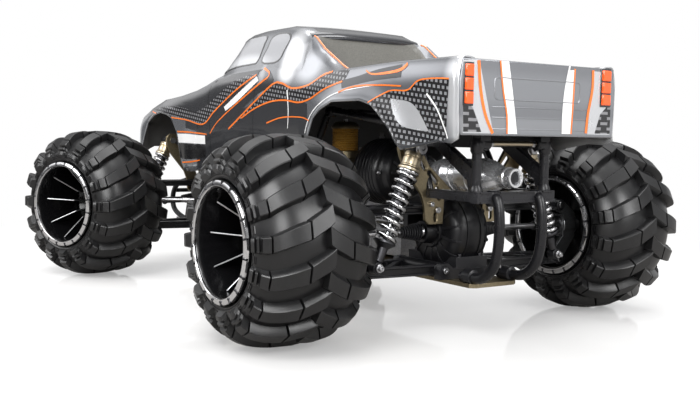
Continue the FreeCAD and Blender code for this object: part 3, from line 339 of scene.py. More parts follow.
def painted_light_patches(mat, *spots):
    """Painted highlights, reflections and shade: soft-edged elliptical patches of another colour: (y, z, y
    radius, z radius, strength, colour), in metres.

    Pale painted highlights stay on the flanks, off the middle 150 mm.
    """
    nodes, links = mat.node_tree.nodes, mat.node_tree.links
    shader = nodes["Principled BSDF"]
    where = nodes.new("ShaderNodeTexCoord")
    axes = nodes.new("ShaderNodeSeparateXYZ")
    links.new(where.outputs["Object"], axes.inputs[0])
    out = nodes.new("ShaderNodeMath")
    out.operation = "ABSOLUTE"
    links.new(axes.outputs["X"], out.inputs[0])
    flank = nodes.new("ShaderNodeMapRange")
    flank.interpolation_type = "SMOOTHSTEP"
    flank.inputs["From Min"].default_value = 0.066
    flank.inputs["From Max"].default_value = 0.078
    links.new(out.outputs[0], flank.inputs["Value"])
    for y, z, y_radius, z_radius, strength, color in spots:
        base = shader.inputs["Base Color"].links[0].from_socket
        place = nodes.new("ShaderNodeMapping")
        place.vector_type = "TEXTURE"
        place.inputs["Location"].default_value = (0, y, z)
        place.inputs["Scale"].default_value = (1000, y_radius, z_radius)
        links.new(where.outputs["Object"], place.inputs["Vector"])
        reach = nodes.new("ShaderNodeVectorMath")
        reach.operation = "LENGTH"
        links.new(place.outputs["Vector"], reach.inputs[0])
        fade = nodes.new("ShaderNodeMapRange")
        fade.interpolation_type = "SMOOTHSTEP"
        fade.inputs["From Min"].default_value = 1.0
        fade.inputs["From Max"].default_value = 0.35
        fade.inputs["To Max"].default_value = strength
        links.new(reach.outputs["Value"], fade.inputs["Value"])
        mix = nodes.new("ShaderNodeMix")
        mix.data_type = "RGBA"
        mix.inputs["B"].default_value = (*color, 1)
        amount = nodes.new("ShaderNodeMath")
        amount.operation = "MULTIPLY"
        amount.inputs[1].default_value = 1.0
        links.new(fade.outputs["Result"], amount.inputs[0])
        if min(color) > 0.38:
            links.new(flank.outputs["Result"], amount.inputs[1])
        links.new(amount.outputs[0], mix.inputs["Factor"])
        links.new(base, mix.inputs["A"])
        links.new(mix.outputs["Result"], shader.inputs["Base Color"])
    return mat


def dash_material(name, dark, pale, cell):
    """Black film with staggered pale lozenges, like a woven print seen at an angle."""
    mat = material(name, dark, rough=0.22, coat=0.6, noise=0.1)
    nodes, links = mat.node_tree.nodes, mat.node_tree.links
    shader = nodes["Principled BSDF"]
    base = shader.inputs["Base Color"].links[0].from_socket
    where = nodes.new("ShaderNodeTexCoord")
    split = nodes.new("ShaderNodeSeparateXYZ")
    links.new(where.outputs["Object"], split.inputs["Vector"])

    def math_node(kind, a, b=None):
        """One arithmetic node; its inputs are numbers or other nodes' outputs."""
        node = nodes.new("ShaderNodeMath")
        node.operation = kind
        for socket, value in zip(node.inputs, (a, b)):
            if value is None:
                continue
            if isinstance(value, (int, float)):
                socket.default_value = value
            else:
                links.new(value, socket)
        return node.outputs[0]

    y, z = split.outputs["Y"], split.outputs["Z"]
    side = math_node("ABSOLUTE", split.outputs["X"])
    u = math_node("DIVIDE", math_node("ADD", y, math_node("MULTIPLY", side, 0.35)), cell)
    inward = math_node("MAXIMUM", math_node("SUBTRACT", 0.06, side), 0.0)
    height = math_node("ADD", math_node("ADD", z, math_node("MULTIPLY", y, 0.12)), inward)
    v = math_node("DIVIDE", height, cell * 0.8)
    row = math_node("FLOOR", v)
    shifted = math_node("ADD", u, math_node("MULTIPLY", math_node("MODULO", row, 2.0), 0.5))
    du = math_node("ABSOLUTE", math_node("SUBTRACT", math_node("FRACT", shifted), 0.5))
    dv = math_node("ABSOLUTE", math_node("SUBTRACT", math_node("FRACT", v), 0.5))
    reach = math_node("MAXIMUM", math_node("DIVIDE", du, 0.27), math_node("DIVIDE", dv, 0.27))
    inside = math_node("LESS_THAN", reach, 1.0)
    mix = nodes.new("ShaderNodeMix")
    mix.data_type = "RGBA"
    mix.inputs["B"].default_value = (*pale, 1)
    links.new(inside, mix.inputs["Factor"])
    links.new(base, mix.inputs["A"])
    links.new(mix.outputs["Result"], shader.inputs["Base Color"])
    return mat


RUBBER = material("rubber", (0.0055, 0.0055, 0.006), rough=0.32, noise=0.3, noise_scale=350, bump=0.15,
                  bump_scale=1400,
                  wear=0.15, wear_color=(0.03, 0.03, 0.03), rough_var=0.10)
SIDEWALL = material("sidewall_rubber", (0.005, 0.005, 0.0055), rough=0.30, noise=0.2, bump=0.06,
                    bump_scale=1200, rough_var=0.06)
GLOSS_BLACK = material("gloss_black_nylon", (0.004, 0.004, 0.0045), rough=0.2, noise=0.2, bump=0.05)
NYLON = material("black_nylon", (0.006, 0.006, 0.007), rough=0.32, noise=0.25, bump=0.22, bump_scale=1100,
                 wear=0.3, wear_color=(0.045, 0.045, 0.05), specular=0.34)
CHROME = material("chrome", (0.70, 0.71, 0.73), rough=0.14, metal=1.0, noise=0.05, rough_var=0.05)
SPRING_CHROME = material("spring_chrome", (0.50, 0.50, 0.51), rough=0.17, metal=1.0, noise=0.06, rough_var=0.05)
SILVER = material("silver_ring", (0.66, 0.66, 0.67), rough=0.16, metal=1.0, noise=0.06, bump=0.05,
                  bump_scale=2500)
STEEL = material("steel", (0.42, 0.42, 0.43), rough=0.3, metal=1.0, noise=0.12, bump=0.12, bump_scale=1800)
DARK_STEEL = material("dark_steel", (0.07, 0.07, 0.075), rough=0.35, metal=1.0, noise=0.2, bump=0.15)
GOLD = material("gold_anodised", (0.40, 0.33, 0.22), rough=0.30, metal=1.0, noise=0.10, bump=0.10,
                bump_scale=2200,
                wear=0.5, wear_color=(0.62, 0.56, 0.44))
PLATE_GOLD = material("plate_anodised", (0.27, 0.225, 0.145), rough=0.42, metal=1.0, noise=0.15, bump=0.2,
                      bump_scale=2000)
CAST = material("cast_alloy", (0.30, 0.30, 0.31), rough=0.5, metal=0.9, noise=0.2, bump=0.5, bump_scale=900)
SILENCER = material("polished_silencer", (0.80, 0.81, 0.83), rough=0.27, metal=0.8, noise=0.06, bump=0.04,
                    coat=0.5)
GREY_ALLOY = material("grey_alloy", (0.16, 0.165, 0.17), rough=0.36, metal=0.9, noise=0.15, bump=0.12)
POWDER = material("black_powder_coat", (0.006, 0.006, 0.0075), rough=0.28, noise=0.3, bump=0.25,
                  bump_scale=1500, coat=0.1,
                  wear=0.35, wear_color=(0.06, 0.06, 0.065), specular=0.34)
FOAM = material("filter_foam", (0.30, 0.15, 0.015), rough=0.9, noise=0.4, noise_scale=900, bump=0.9,
                bump_scale=700)
TANK = material("tank_plastic", (0.56, 0.54, 0.48), rough=0.4, noise=0.05, bump=0.08, transmission=0.15)
GREY_PAINT = material("shell_grey_paint", (0.17, 0.176, 0.19), rough=0.22, metal=0.55, noise=0.05,
                      noise_scale=2600, coat=1.0,
                      rough_var=0.02)
# A lighter copy of the shell grey for the tailgate and its pressings: painted sheen.
GATE_SHEEN_PAINT = material("shell_gate_paint_painted_sheen", (0.20, 0.206, 0.222), rough=0.24, metal=0.5, noise=0.05,
                      noise_scale=2600, coat=1.0,
                      rough_var=0.02)
DARK_PAINT = material("shell_dark_paint", (0.035, 0.036, 0.040), rough=0.20, metal=0.35, noise=0.06,
                      noise_scale=2600, coat=1.0,
                      rough_var=0.02)
SILVER_PAINT = material("shell_silver_paint", (0.66, 0.67, 0.69), rough=0.25, metal=0.6, noise=0.06,
                        noise_scale=2600, coat=1.0)
WHITE_PAINT = material("shell_white_paint", (0.80, 0.80, 0.80), rough=0.25, noise=0.03, coat=1.0)
ORANGE_PAINT = material("shell_orange_paint", (0.80, 0.17, 0.015), rough=0.25, noise=0.05, coat=1.0)
BLACK_PAINT = material("shell_black_paint", (0.008, 0.008, 0.009), rough=0.2, noise=0.1, coat=1.0)
LAMP = material("lamp_orange", (0.90, 0.10, 0.008), rough=0.18, noise=0.12, noise_scale=300, bump=0.25,
                bump_scale=350, coat=1.0)
WINDOW = material("window_film", (0.26, 0.265, 0.28), rough=0.14, metal=0.3, noise=0.04, coat=1.0)
REAR_WINDOW = material("rear_window_film", (0.075, 0.072, 0.062), rough=0.42, noise=0.65, noise_scale=1400,
                       bump=0.25, coat=0.5)
INSIDE = material("shell_inside", (0.035, 0.035, 0.037), rough=0.55, noise=0.2, bump=0.2)
DASHES = dash_material("shell_dash_print", (0.010, 0.010, 0.011), (0.20, 0.20, 0.21), cell=0.0062)


# Painted light on the grey paint: the dark patches are painted reflections of dark surroundings on the hood
# side, the lower door and the roof; the pale patches are painted highlights on the C-pillar, the crease behind
# it, the bed side and rear fender, the tail corner, the door and the lower front.
painted_light_patches(GREY_PAINT, (-0.22, 0.255, 0.17, 0.050, 0.85, (0.055, 0.056, 0.062)), (0.03, 0.175, 0.13, 0.045, 0.8,
                                                                                (0.055, 0.056, 0.062)),
         (0.085, 0.275, 0.026, 0.040, 1.0, (0.90, 0.91, 0.93)), (0.128, 0.262, 0.034, 0.022, 0.75,
                                                                 (0.62, 0.64, 0.68)),
         (0.27, 0.247, 0.13, 0.014, 0.45, (0.50, 0.51, 0.55)), (0.19, 0.230, 0.060, 0.014, 0.6,
                                                                (0.50, 0.51, 0.54)),
         (0.380, 0.225, 0.022, 0.060, 0.75, (0.80, 0.81, 0.83)), (0.03, 0.236, 0.010, 0.05, 0.5,
                                                                  (0.60, 0.61, 0.63)),
         (-0.165, 0.170, 0.035, 0.040, 0.7, (0.40, 0.41, 0.43)), (0.02, 0.313, 0.10, 0.010, 0.5,
                                                                  (0.07, 0.072, 0.08)))
# Painted light on the shell's inside: lit grey patches inside the nose, seen through the front arch, and inside
# the tail.
painted_light_patches(INSIDE, (-0.345, 0.20, 0.055, 0.070, 1.0, (0.17, 0.165, 0.16)), (0.35, 0.19, 0.06, 0.035, 1.0,
                                                                          (0.24, 0.245, 0.25)))
# Painted highlights on the tailgate: two lighter patches for its silver-ish sheen.
painted_light_patches(GATE_SHEEN_PAINT, (0.384, 0.232, 0.02, 0.020, 0.5, (0.30, 0.31, 0.33)), (0.384, 0.200, 0.02, 0.010, 0.5,
                                                                            (0.34, 0.35, 0.37)))
# Painted reflection across the side windows: a pale band.
painted_light_patches(WINDOW, (-0.02, 0.272, 0.07, 0.016, 0.8, (0.55, 0.56, 0.58)))


# ---------------------------------------------------------------- wheels

CARCASS = [(0, 86.4), (18, 86), (32, 83.6), (42, 78.8), (50, 72), (54.6, 65.6), (55.8, 60.5), (54.2, 55.5),
           (51, 51.5)]
TREAD = [(0, 95), (18, 94.6), (32, 92.4), (44, 87.6), (53, 80.3), (58.6, 72.5), (61, 66.5), (61.6, 62),
         (60.5, 60)]
LUG_COUNT = 16
LUG_PARTS = [(-0.02, 0.135, 1.0), (0.152, 0.452, 1.0), (0.470, 0.560, 1.0), (0.560, 0.605, 0.45),
             (0.605, 0.640, 0.9),
             (0.640, 0.690, 0.4), (0.690, 0.790, 0.8)]
RING_SCREWS = 20


def along(points, t):
    """A point at fraction t of a polyline's control points, on a smooth curve."""
    place = min(max(t, 0.0), 1.0) * (len(points) - 1)
    i = min(int(place), len(points) - 2)
    f = place - i
    p = [Vector(points[min(max(k, 0), len(points) - 1)]) for k in (i - 1, i, i + 1, i + 2)]
    return 0.5 * (2 * p[1] + (p[2] - p[0]) * f + (2 * p[0] - 5 * p[1] + 4 * p[2] - p[3]) * f * f
                  + (3 * p[1] - p[0] - 3 * p[2] + p[3]) * f ** 3)


def lug_turn(t):
    """How far round the tyre a lug has swept at fraction t: straight on the wall, then two bends."""
    if t > 0.46:
        return 0.0
    if t > 0.14:
        return 6.8 * (0.46 - t) / 0.32
    return 6.8 + 7.2 * (0.14 - t) / 0.14


def lug(build, side, phase):
    """One tread lug, from the middle of the tread round the shoulder, in blocks parted by sipes."""
    for start, end, level in LUG_PARTS:
        steps = max(2, round((end - start) * 18))
        verts = []
        for k in range(steps + 1):
            t = lerp(start, end, k / steps)
            base, top = along(CARCASS, t), along(TREAD, t)
            if t < 0:
                base.x, top.x = t * 120, t * 120
            top = base.lerp(top, level)
            half = lerp(8.0, 5.4, min(1.0, max(0.0, t) * 1.35))
            angle = phase + math.radians(lug_turn(t))
            sunk = base.lerp(top, -0.15)
            soft = top.lerp(base, 0.10)
            for point, reach in ((sunk, -half - 1.5), (soft, -half - 0.15), (top, -half + 0.7),
                                 (top, half - 0.7), (soft, half + 0.15), (sunk, half + 1.5)):
                turn = angle + reach / point.y
                verts.append((side * point.x, point.y * math.cos(turn), point.y * math.sin(turn)))
        faces = ring_faces(6, steps + 1)
        faces += [tuple(range(6)), tuple(steps * 6 + k for k in reversed(range(6)))]
        build.add(verts, faces)


def make_tyre(name, place):
    """Carcass, chevron lugs and bead rings of one tyre, its axle along X."""
    build = Build()
    half = [along(CARCASS, k / 22) for k in range(23)]
    outer = [(p.x, p.y) for p in reversed(half)] + [(-p.x, p.y) for p in half[1:]]
    inner = [(-46, 51), (-46, 55), (-48, 62), (-44, 70), (-30, 78), (0, 81), (30, 78), (44, 70), (48, 62),
             (46, 55), (46, 51)]
    spin(build, outer + inner, 144, closed=True, slot=1)
    for side in (1, -1):
        for k in range(LUG_COUNT):
            phase = math.tau * (k + (0 if side > 0 else 0.5)) / LUG_COUNT
            lug(build, side, phase)
            foot = phase + math.tau * 0.5 / LUG_COUNT
            for low, high, x in ((60.8, 62.6, 55.9), (63.4, 64.2, 55.6)):
                nub = []
                for radius, turn in ((low, -0.05), (low, 0.05), (high, 0.05), (high, -0.05)):
                    for depth in (-1.4, 0.7):
                        nub.append((side * (x + depth), radius * math.cos(foot + turn),
                                    radius * math.sin(foot + turn)))
                build.add(nub, [(0, 2, 4, 6), (1, 7, 5, 3), (0, 1, 3, 2), (2, 3, 5, 4), (4, 5, 7, 6),
                                (6, 7, 1, 0)], 1)
        for radius, x in ((56.8, 55.2), (59.4, 56.2)):
            bead = [(side * (x - 1.2), radius - 0.8), (side * (x + 0.1), radius - 0.5), (side * (x + 0.1),
                                                                                         radius + 0.3),
                    (side * (x - 1.2), radius + 0.6)]
            spin(build, bead, 96, closed=True, slot=1)
    return build.object(name, [RUBBER, SIDEWALL], place, smooth=34)


def make_rim(name, place):
    """Deep black dish with fins whose edges carry steel rods as painted highlights, notched bead-lock rings
    with screws, and the stub axle.
    """
    build = Build()
    barrel = [
        (-57, 47), (-40, 46.6), (-24, 46.6), (-22, 45), (-24, 18), (-26, 13), (-26, 5), (-10, 5), (-9, 12),
              (-13, 17),
        (-17, 30), (-15, 41), (-9, 46), (20, 46.6), (51, 46.8), (55, 47.2), (57, 48), (57, 54), (55, 54),
              (53, 50), (30, 50), (-53, 50), (-55, 54), (-57, 54),
    ]
    spin(build, barrel, 96, closed=True, slot=0)
    for k in range(9):
        turn = Matrix.Rotation(math.tau * k / 9 + 0.087, 4, "X")
        prism(build, [(-16, 12), (-4, 12), (20, 21), (44, 46.9), (-14, 46.9)], -0.8, 0.8, "y", turn, slot=0)
        # Steel rods along the fins' edges: painted highlights on the black fins.
        rod(build, turn @ Vector((20, 0, 21)), turn @ Vector((43.6, 0, 46.4)), 0.75, steps=8, slot=1)
        rod(build, turn @ Vector((-3, 0, 12.4)), turn @ Vector((20, 0, 21)), 0.75, steps=8, slot=1)
    for side in (1, -1):
        ring = [(side * 57, 48.4), (side * 58.6, 48.4), (side * 59.6, 49.0), (side * 59.6, 52.6),
                (side * 58.8, 54.0), (side * 57, 54.4)]
        spin(build, ring, 120, closed=True, slot=2)
        for k in range(RING_SCREWS):
            turn = Matrix.Rotation(math.tau * (k + 0.5) / RING_SCREWS, 4, "X")
            prism(build, [(side * 57.6, 50.4), (side * 59.9, 50.4), (side * 59.9, 54.6), (side * 57.6, 54.6)],
                  -0.85, 0.85, "y",
                  turn, slot=3)
            cap_screw(build, turn @ Vector((side * 59.2, 0, 50.9)), (side, 0, 0), 1.15, slot=3)
    axle = [(-63.5, 9.3), (-63.5, 10), (-50.5, 10), (-50.5, 5), (-31, 5), (-31, 11), (-26, 11), (-26, 5),
            (-4, 5),
            (-3.4, 4.4), (-3.4, 0.1), (-52.5, 0.1), (-52.5, 6.9), (-57.5, 6.9)]
    spin(build, axle, 32, closed=True, slot=4)
    nut = [(-10, 5.05), (-10, 8.4), (-9.3, 9), (-4.7, 9), (-4, 8.4), (-4, 5.05)]
    spin(build, nut, 6, closed=True, slot=5)
    flange = [(-10.6, 6), (-10.6, 11.5), (-9.9, 11.5), (-9.9, 6)]
    spin(build, flange, 32, closed=True, slot=5)
    return build.object(name, [GLOSS_BLACK, STEEL, SILVER, DARK_STEEL, STEEL, GOLD], place, smooth=30)


def wheels():
    """The four wheels; each front one is turned as its joint's axis is."""
    for corner, side, end in CORNERS:
        joint = JOINTS[f"wheel_{corner}_spin"]
        steer = math.atan2(joint["axis"][1], joint["axis"][0])
        centre = Matrix.Translation(joint_at(f"wheel_{corner}_spin")) @ Matrix.Rotation(steer, 4, "Z")
        roll = Matrix.Rotation(math.radians({"rear_left": 4, "front_left": 0, "rear_right": 11}.get(corner, 7)),
                               4, "X")
        tyre = make_tyre(f"lugged_tyre_{corner}", centre @ roll)
        finish_piece(tyre, f"wheel_{corner}", "tyre_rubber", f"tyre_{corner}")
        outboard = Matrix.Diagonal((side, 1, 1, 1))
        rim = make_rim(f"dished_rim_{corner}", centre @ outboard)
        finish_piece(rim, f"wheel_{corner}", "rim_black", f"rim_{corner}")


# ---------------------------------------------------------------- shocks

SPRING_TURNS = 10


def shocks():
    """Cylinder, rod and a coil spring between them, at each corner."""
    for corner, side, end in CORNERS:
        top = joint_at(f"shock_{corner}_tilt")
        axis = Vector(JOINTS[f"shock_{corner}_travel"]["axis"])
        out = Vector((0, end, 0))
        lower = top + axis * 118.47
        build = Build()
        profile = [(4, 5.2), (5, 8.6), (6.5, 9), (9, 9), (9.6, 8.2), (10.6, 8.2), (11.2, 9), (17, 9), (18, 8.2),
                   (18, 6.8)]
        turned(build, top, axis, profile, 28, slot=0)
        for k in range(3):
            at = 17.6 + 1.7 * k
            turned(build, top + axis * at, axis, [(0, 8.4), (0.4, 9.6), (1.1, 9.6), (1.6, 8.4)], 28, slot=0)
        collar = [(20, 6.7), (19.6, 9.6), (20.4, 10.8), (22, 10.8), (22.4, 10.2), (22.4, 6.7)]
        turned(build, top, axis, collar, 30, closed=True, slot=0)
        turned(build, top, axis, [(18, 6.4), (19, 6.6), (66, 6.6), (67.5, 7.2), (69.5, 7.2), (70, 6.6),
                                  (70, 3)], 26, slot=1)
        turned(build, top - out * 6, out, [(0, 2.6), (0, 7.4), (0.9, 8.2), (11.1, 8.2), (12, 7.4), (12, 5.6),
                                           (10.6, 5.2), (10.6, 2.6)], 30,
               closed=True, slot=2)
        body = build.object(f"shock_cylinder_{corner}", [GOLD, DARK_STEEL, NYLON], smooth=35)
        finish_piece(body, f"shock_body_{corner}", "gold_alloy", f"shock_body_{corner}")

        build = Build()
        turned(build, top, axis, [(44, 1), (44, 2.5), (107, 2.5), (107, 1)], 18, slot=0)
        seat = [(92, 2.4), (92, 10.3), (92.6, 10.8), (94.2, 10.8), (96, 8.2), (99, 5.4), (108, 4.8), (112, 4.6),
                (113, 2.4)]
        turned(build, top, axis, seat, 28, slot=1)
        eye = [(0, 4.2), (0, 5.2), (0.7, 5.8), (9.3, 5.8), (10, 5.2), (10, 4.2)]
        turned(build, lower - out * 5, out, eye, 26, closed=True, slot=2)
        rod_piece = build.object(f"shock_shaft_{corner}", [CHROME, DARK_STEEL, NYLON], smooth=35)
        finish_piece(rod_piece, f"shock_rod_{corner}", "steel", f"shock_rod_{corner}")

        first, last = 23.9, 90.4
        across = axis.cross(out).normalized()
        points = []
        steps = SPRING_TURNS * 22
        for k in range(steps + 1):
            f = k / steps
            flat = 0.06
            reach = lerp(first, last, min(1.0, max(0.0, (f - flat) / (1 - 2 * flat))))
            a = math.tau * SPRING_TURNS * f
            points.append(top + axis * reach + (across * math.cos(a) + out * math.sin(a)) * 8.7)
        build = Build()
        tube(build, points, 2.15, 10)
        spring = build.object(f"coil_spring_{corner}", SPRING_CHROME, smooth=60)
        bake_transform(spring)
        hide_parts(f"spring_{corner}")


# ---------------------------------------------------------------- body shell

BOTTOM = [
    (-364, 161), (-345, 160), (-332, 165), (-319, 186), (-305, 204), (-285, 214), (-260, 217), (-238, 214),
          (-222, 209),
    (-206, 191), (-199, 170), (-193, 151), (-183, 139), (-165, 138), (-146, 140), (-60, 147), (60, 150),
          (118, 152),
    (127, 160), (133, 174), (140, 190), (149, 206), (164, 215), (189, 223), (240, 223), (260, 218), (272, 209),
    (288, 196), (298, 183), (306, 177), (330, 181), (353, 185), (374, 184), (382, 188),
]
BELT = [(-364, 203), (-326, 215), (-300, 224), (-254, 235), (-200, 239), (-150, 245), (-119, 251), (-86, 259),
        (15, 265), (60, 262), (100, 256), (139, 252), (211, 255), (299, 258), (382, 257)]
HOOD = [(-364, 222), (-345, 231), (-300, 238), (-254, 243), (-200, 249), (-150, 255), (-119, 258), (-95, 261)]
ROOF = [(-95, 262), (-70, 286), (-45, 307), (-30, 310.5), (0, 312.5), (60, 312.5), (85, 309), (100, 303),
        (108, 298)]
# Rows of the top behind the roof: y, then the section from the belt (x, z) to the middle plane.
REAR_TOP = [
    (118, [(92, 254), (89.5, 262), (85.5, 279), (82, 291), (79, 295), (74, 294.5), (69, 289), (62, 285.5),
           (30, 286), (0, 286.5)]),
    (138, [(92.5, 252), (90.5, 257), (87, 268), (84, 277), (80, 281), (75, 280.5), (70, 270), (62, 259),
           (30, 259), (0, 259.5)]),
    (150, [(92.8, 252.3), (91.3, 256), (88, 264), (85, 272), (81, 275.3), (76, 274.5), (71, 259), (62, 243),
           (30, 243), (0, 243)]),
    (155, [(93, 252.4), (91.5, 255.6), (88.5, 262), (85.6, 270), (81.5, 272.8), (77, 272), (72, 252), (66, 235),
           (30, 233), (0, 233)]),
    (161, [(93.2, 252.6), (91.7, 255.3), (89.3, 261), (86.2, 267.2), (82, 270), (77.5, 269.2), (73, 250),
           (68, 234), (30, 232), (0, 232)]),
    (177, [(93.5, 253.3), (92.2, 255), (90.2, 258), (87.5, 260.8), (83.5, 262.2), (78.5, 261.4), (75, 246),
           (71, 233.6), (30, 232), (0, 232)]),
    (193, [(94, 254), (93, 255.2), (91.3, 256.2), (88.3, 256.4), (84.3, 256.2), (80, 255.2), (76.6, 245),
           (73, 233.4), (30, 232), (0, 232)]),
    (290, [(94.5, 256.5), (93.6, 257.8), (91.8, 258.6), (88.6, 258.7), (84.6, 258.5), (80.4, 257.4), (77, 247),
           (74, 233.4), (30, 232), (0, 232)]),
    (382, [(94.5, 256.5), (93.6, 257.7), (91.8, 258.4), (88.6, 258.5), (84.6, 258.3), (80.4, 257.2), (77, 247),
           (74, 233.4), (30, 232), (0, 232)]),
]
ARCHES = [(-262, 152, 68), (222, 152, 74)]
FLANK_ROWS = 12


def table(points, y):
    """Height of a (y, z) polyline at y."""
    for (ya, za), (yb, zb) in zip(points, points[1:]):
        if y <= yb:
            return lerp(za, zb, (y - ya) / (yb - ya))
    return points[-1][1]


def section_top(y):
    """Ten (x, z) points from the belt line up and over to the middle plane."""
    belt = table(BELT, y)
    if y <= -95:
        hood = table(HOOD, y)
        nose = 1 - 0.10 * max(0.0, (-330 - y) / 34) ** 2
        rise = [0, 0.10, 0.16, 0.22, 0.42, 0.86, 0.99, 1.02, 1.06, 1.10]
        across = [92, 89, 84, 77, 70, 63, 54, 40, 20, 0]
        return [(x * nose, lerp(belt, hood, s)) for x, s in zip(across, rise)]
    if y <= 108:
        roof = table(ROOF, y)
        rear = max(0.0, (y - 60) / 48)
        window = min(1.0, max(0.0, (roof - belt) / 44))
        across = [92, lerp(89, 90, window), lerp(86, 85, window), lerp(83, 80, window), lerp(78, 75.5, window),
                  lerp(74, 71.5, window), lerp(68, 66, window), 48, 24, 0]
        rise = [0, 0.07, 0.30, 0.66, 0.88, 0.965, 1.0, 1.02, 1.035, 1.04]
        if window < 0.95 and y < 0:
            rise[7:] = [1.03, 1.06, 1.07]
        if rear:
            rise[7:] = [lerp(a, b, rear) for a, b in zip(rise[7:], (1.0, 1.0, 1.0))]
        return [(x, lerp(belt, roof, s)) for x, s in zip(across, rise)]
    for (ya, a), (yb, b) in zip([(108, section_top(108))] + REAR_TOP, REAR_TOP):
        if y <= yb:
            t = (y - ya) / (yb - ya)
            return [(lerp(p[0], q[0], t), lerp(p[1], q[1], t)) for p, q in zip(a, b)]
    return REAR_TOP[-1][1]


def flank_x(y, z, top):
    """The shell's outer half-width on its side, with a crease below the belt and a lip round each arch."""
    belt_x, belt_z = top
    bottom = table(BOTTOM, y)
    down = belt_z - z
    crease = 3.6 * math.sin(math.pi * 0.5 * min(1.0, down / 17))
    x = belt_x + crease - 3.2 * max(0.0, (down - 17) / 95) ** 1.3
    for centre_y, centre_z, radius in ARCHES:
        if abs(y - centre_y) < 105:
            reach = math.hypot((y - centre_y) * 0.86, z - centre_z) - radius
            swell = 3.4 if centre_y > 0 else 1.6
            x += swell * math.exp(-(max(0.0, reach) / 13) ** 2)
    lip = max(0.0, 1 - (z - bottom) / 3.0)
    if y < -345:
        x *= 1 - 0.12 * ((-345 - y) / 19) ** 2
    return x + 0.9 * lip


def shell_stations():
    """The lengthwise positions at which the shell has a section."""
    marks = sorted({round(y, 1) for y, _ in BOTTOM + BELT + HOOD + ROOF} | {y for y, _ in REAR_TOP})
    out = [marks[0]]
    for a, b in zip(marks, marks[1:]):
        if b - a < 1.5:
            continue
        parts = max(1, math.ceil((b - a) / 9))
        out += [a + (b - a) * k / parts for k in range(1, parts + 1)]
    return out


def section(y):
    """Half of the shell's outline at y, from the middle of its top to its lower edge."""
    top = section_top(y)
    edge = top[0]
    bottom = table(BOTTOM, y)
    rows = []
    for k in range(1, FLANK_ROWS + 1):
        t = k / FLANK_ROWS
        z = lerp(edge[1], bottom, t)
        rows.append((flank_x(y, z, edge), z))
    return list(reversed(top)) + rows


def shell_surface():
    """The shell's outer skin: half sections along Y, mirrored, with a rounded nose."""
    build = Build()
    stations = shell_stations()
    sections = [(y, section(y)) for y in stations]
    nose = sections[0]
    for shift, scale in ((-7, 0.955), (-11, 0.88), (-12.5, 0.78)):
        middle = 194
        sections.insert(0, (nose[0] + shift, [(x * scale, middle + (z - middle) * scale) for x, z in nose[1]]))
    count = len(sections[0][1])
    for mirror in (1, -1):
        verts = [(mirror * x, y, z) for y, points in sections for x, z in points]
        for r in range(len(sections) - 1):
            y = (sections[r][0] + sections[r + 1][0]) / 2
            for i in range(count - 1):
                a, b = r * count + i, (r + 1) * count + i
                build.faces.append(tuple(len(build.verts) + k for k in (a, a + 1, b + 1, b)))
                glass = (-95 < y < -45 and i <= 3) and 1 or (109 < y < 150 and i <= 2) and 2 or 0
                build.slots.append(glass)
        build.verts += [Vector(v) for v in verts]
    front = []
    for mirror in (1, -1):
        front.append([(mirror * x, sections[0][0], z) for x, z in sections[0][1]])
    outline = list(reversed(front[0])) + front[1][1:]
    start = len(build.verts)
    build.verts += [Vector(p) for p in outline]
    build.faces.append(tuple(range(start, start + len(outline))))
    build.slots.append(0)
    return build


def weld(obj):
    """Joins the points that lie on one another."""
    work = bmesh.new()
    work.from_mesh(obj.data)
    bmesh.ops.remove_doubles(work, verts=work.verts, dist=0.02 * MM)
    bmesh.ops.dissolve_degenerate(work, dist=0.001 * MM, edges=work.edges)
    bmesh.ops.recalc_face_normals(work, faces=work.faces)
    work.to_mesh(obj.data)
    work.free()


def thicken(obj, thickness, inner_slot=None):
    """Gives a skin its wall, whose inner face takes the later materials."""
    skin = obj.modifiers.new("Skin", "SOLIDIFY")
    skin.thickness = thickness * MM
    skin.offset = -1
    skin.use_even_offset = False
    if inner_slot is not None:
        skin.material_offset = inner_slot


class Skin:
    """Drops points onto the shell from one of its sides."""

    VIEWS = {
        "left": (lambda u, v: (200, u, v), Vector((-1, 0, 0))),
        "right": (lambda u, v: (-200, u, v), Vector((1, 0, 0))),
        "rear": (lambda u, v: (u, 460, v), Vector((0, -1, 0))),
        "front": (lambda u, v: (u, -460, v), Vector((0, 1, 0))),
        "top": (lambda u, v: (u, v, 400), Vector((0, 0, -1))),
    }

    def __init__(self, *builds):
        verts, faces = [], []
        for build in builds:
            start = len(verts)
            verts += build.verts
            faces += [tuple(start + i for i in face) for face in build.faces]
        self.tree = BVHTree.FromPolygons(verts, faces)

    def drop(self, view, u, v, lift):
        """The point of the skin under (u, v), lifted off it, or None beside it."""
        origin, direction = self.VIEWS[view]
        hit, normal, _, _ = self.tree.ray_cast(Vector(origin(u, v)), direction)
        if hit is None:
            return None
        if normal.dot(direction) > 0:
            normal = -normal
        return hit + normal * lift


def resample(points, count):
    """Evenly spaced points along a polyline, its corners slightly eased."""
    points = [Vector((p[0], p[1], 0)) for p in points]
    fine = curve_through(points, 8)
    reach = [0.0]
    for a, b in zip(fine, fine[1:]):
        reach.append(reach[-1] + (b - a).length)
    out, k = [], 0
    for i in range(count):
        want = reach[-1] * i / (count - 1)
        while k < len(reach) - 2 and reach[k + 1] < want:
            k += 1
        step = reach[k + 1] - reach[k]
        out.append(fine[k].lerp(fine[k + 1], (want - reach[k]) / step if step else 0))
    return out


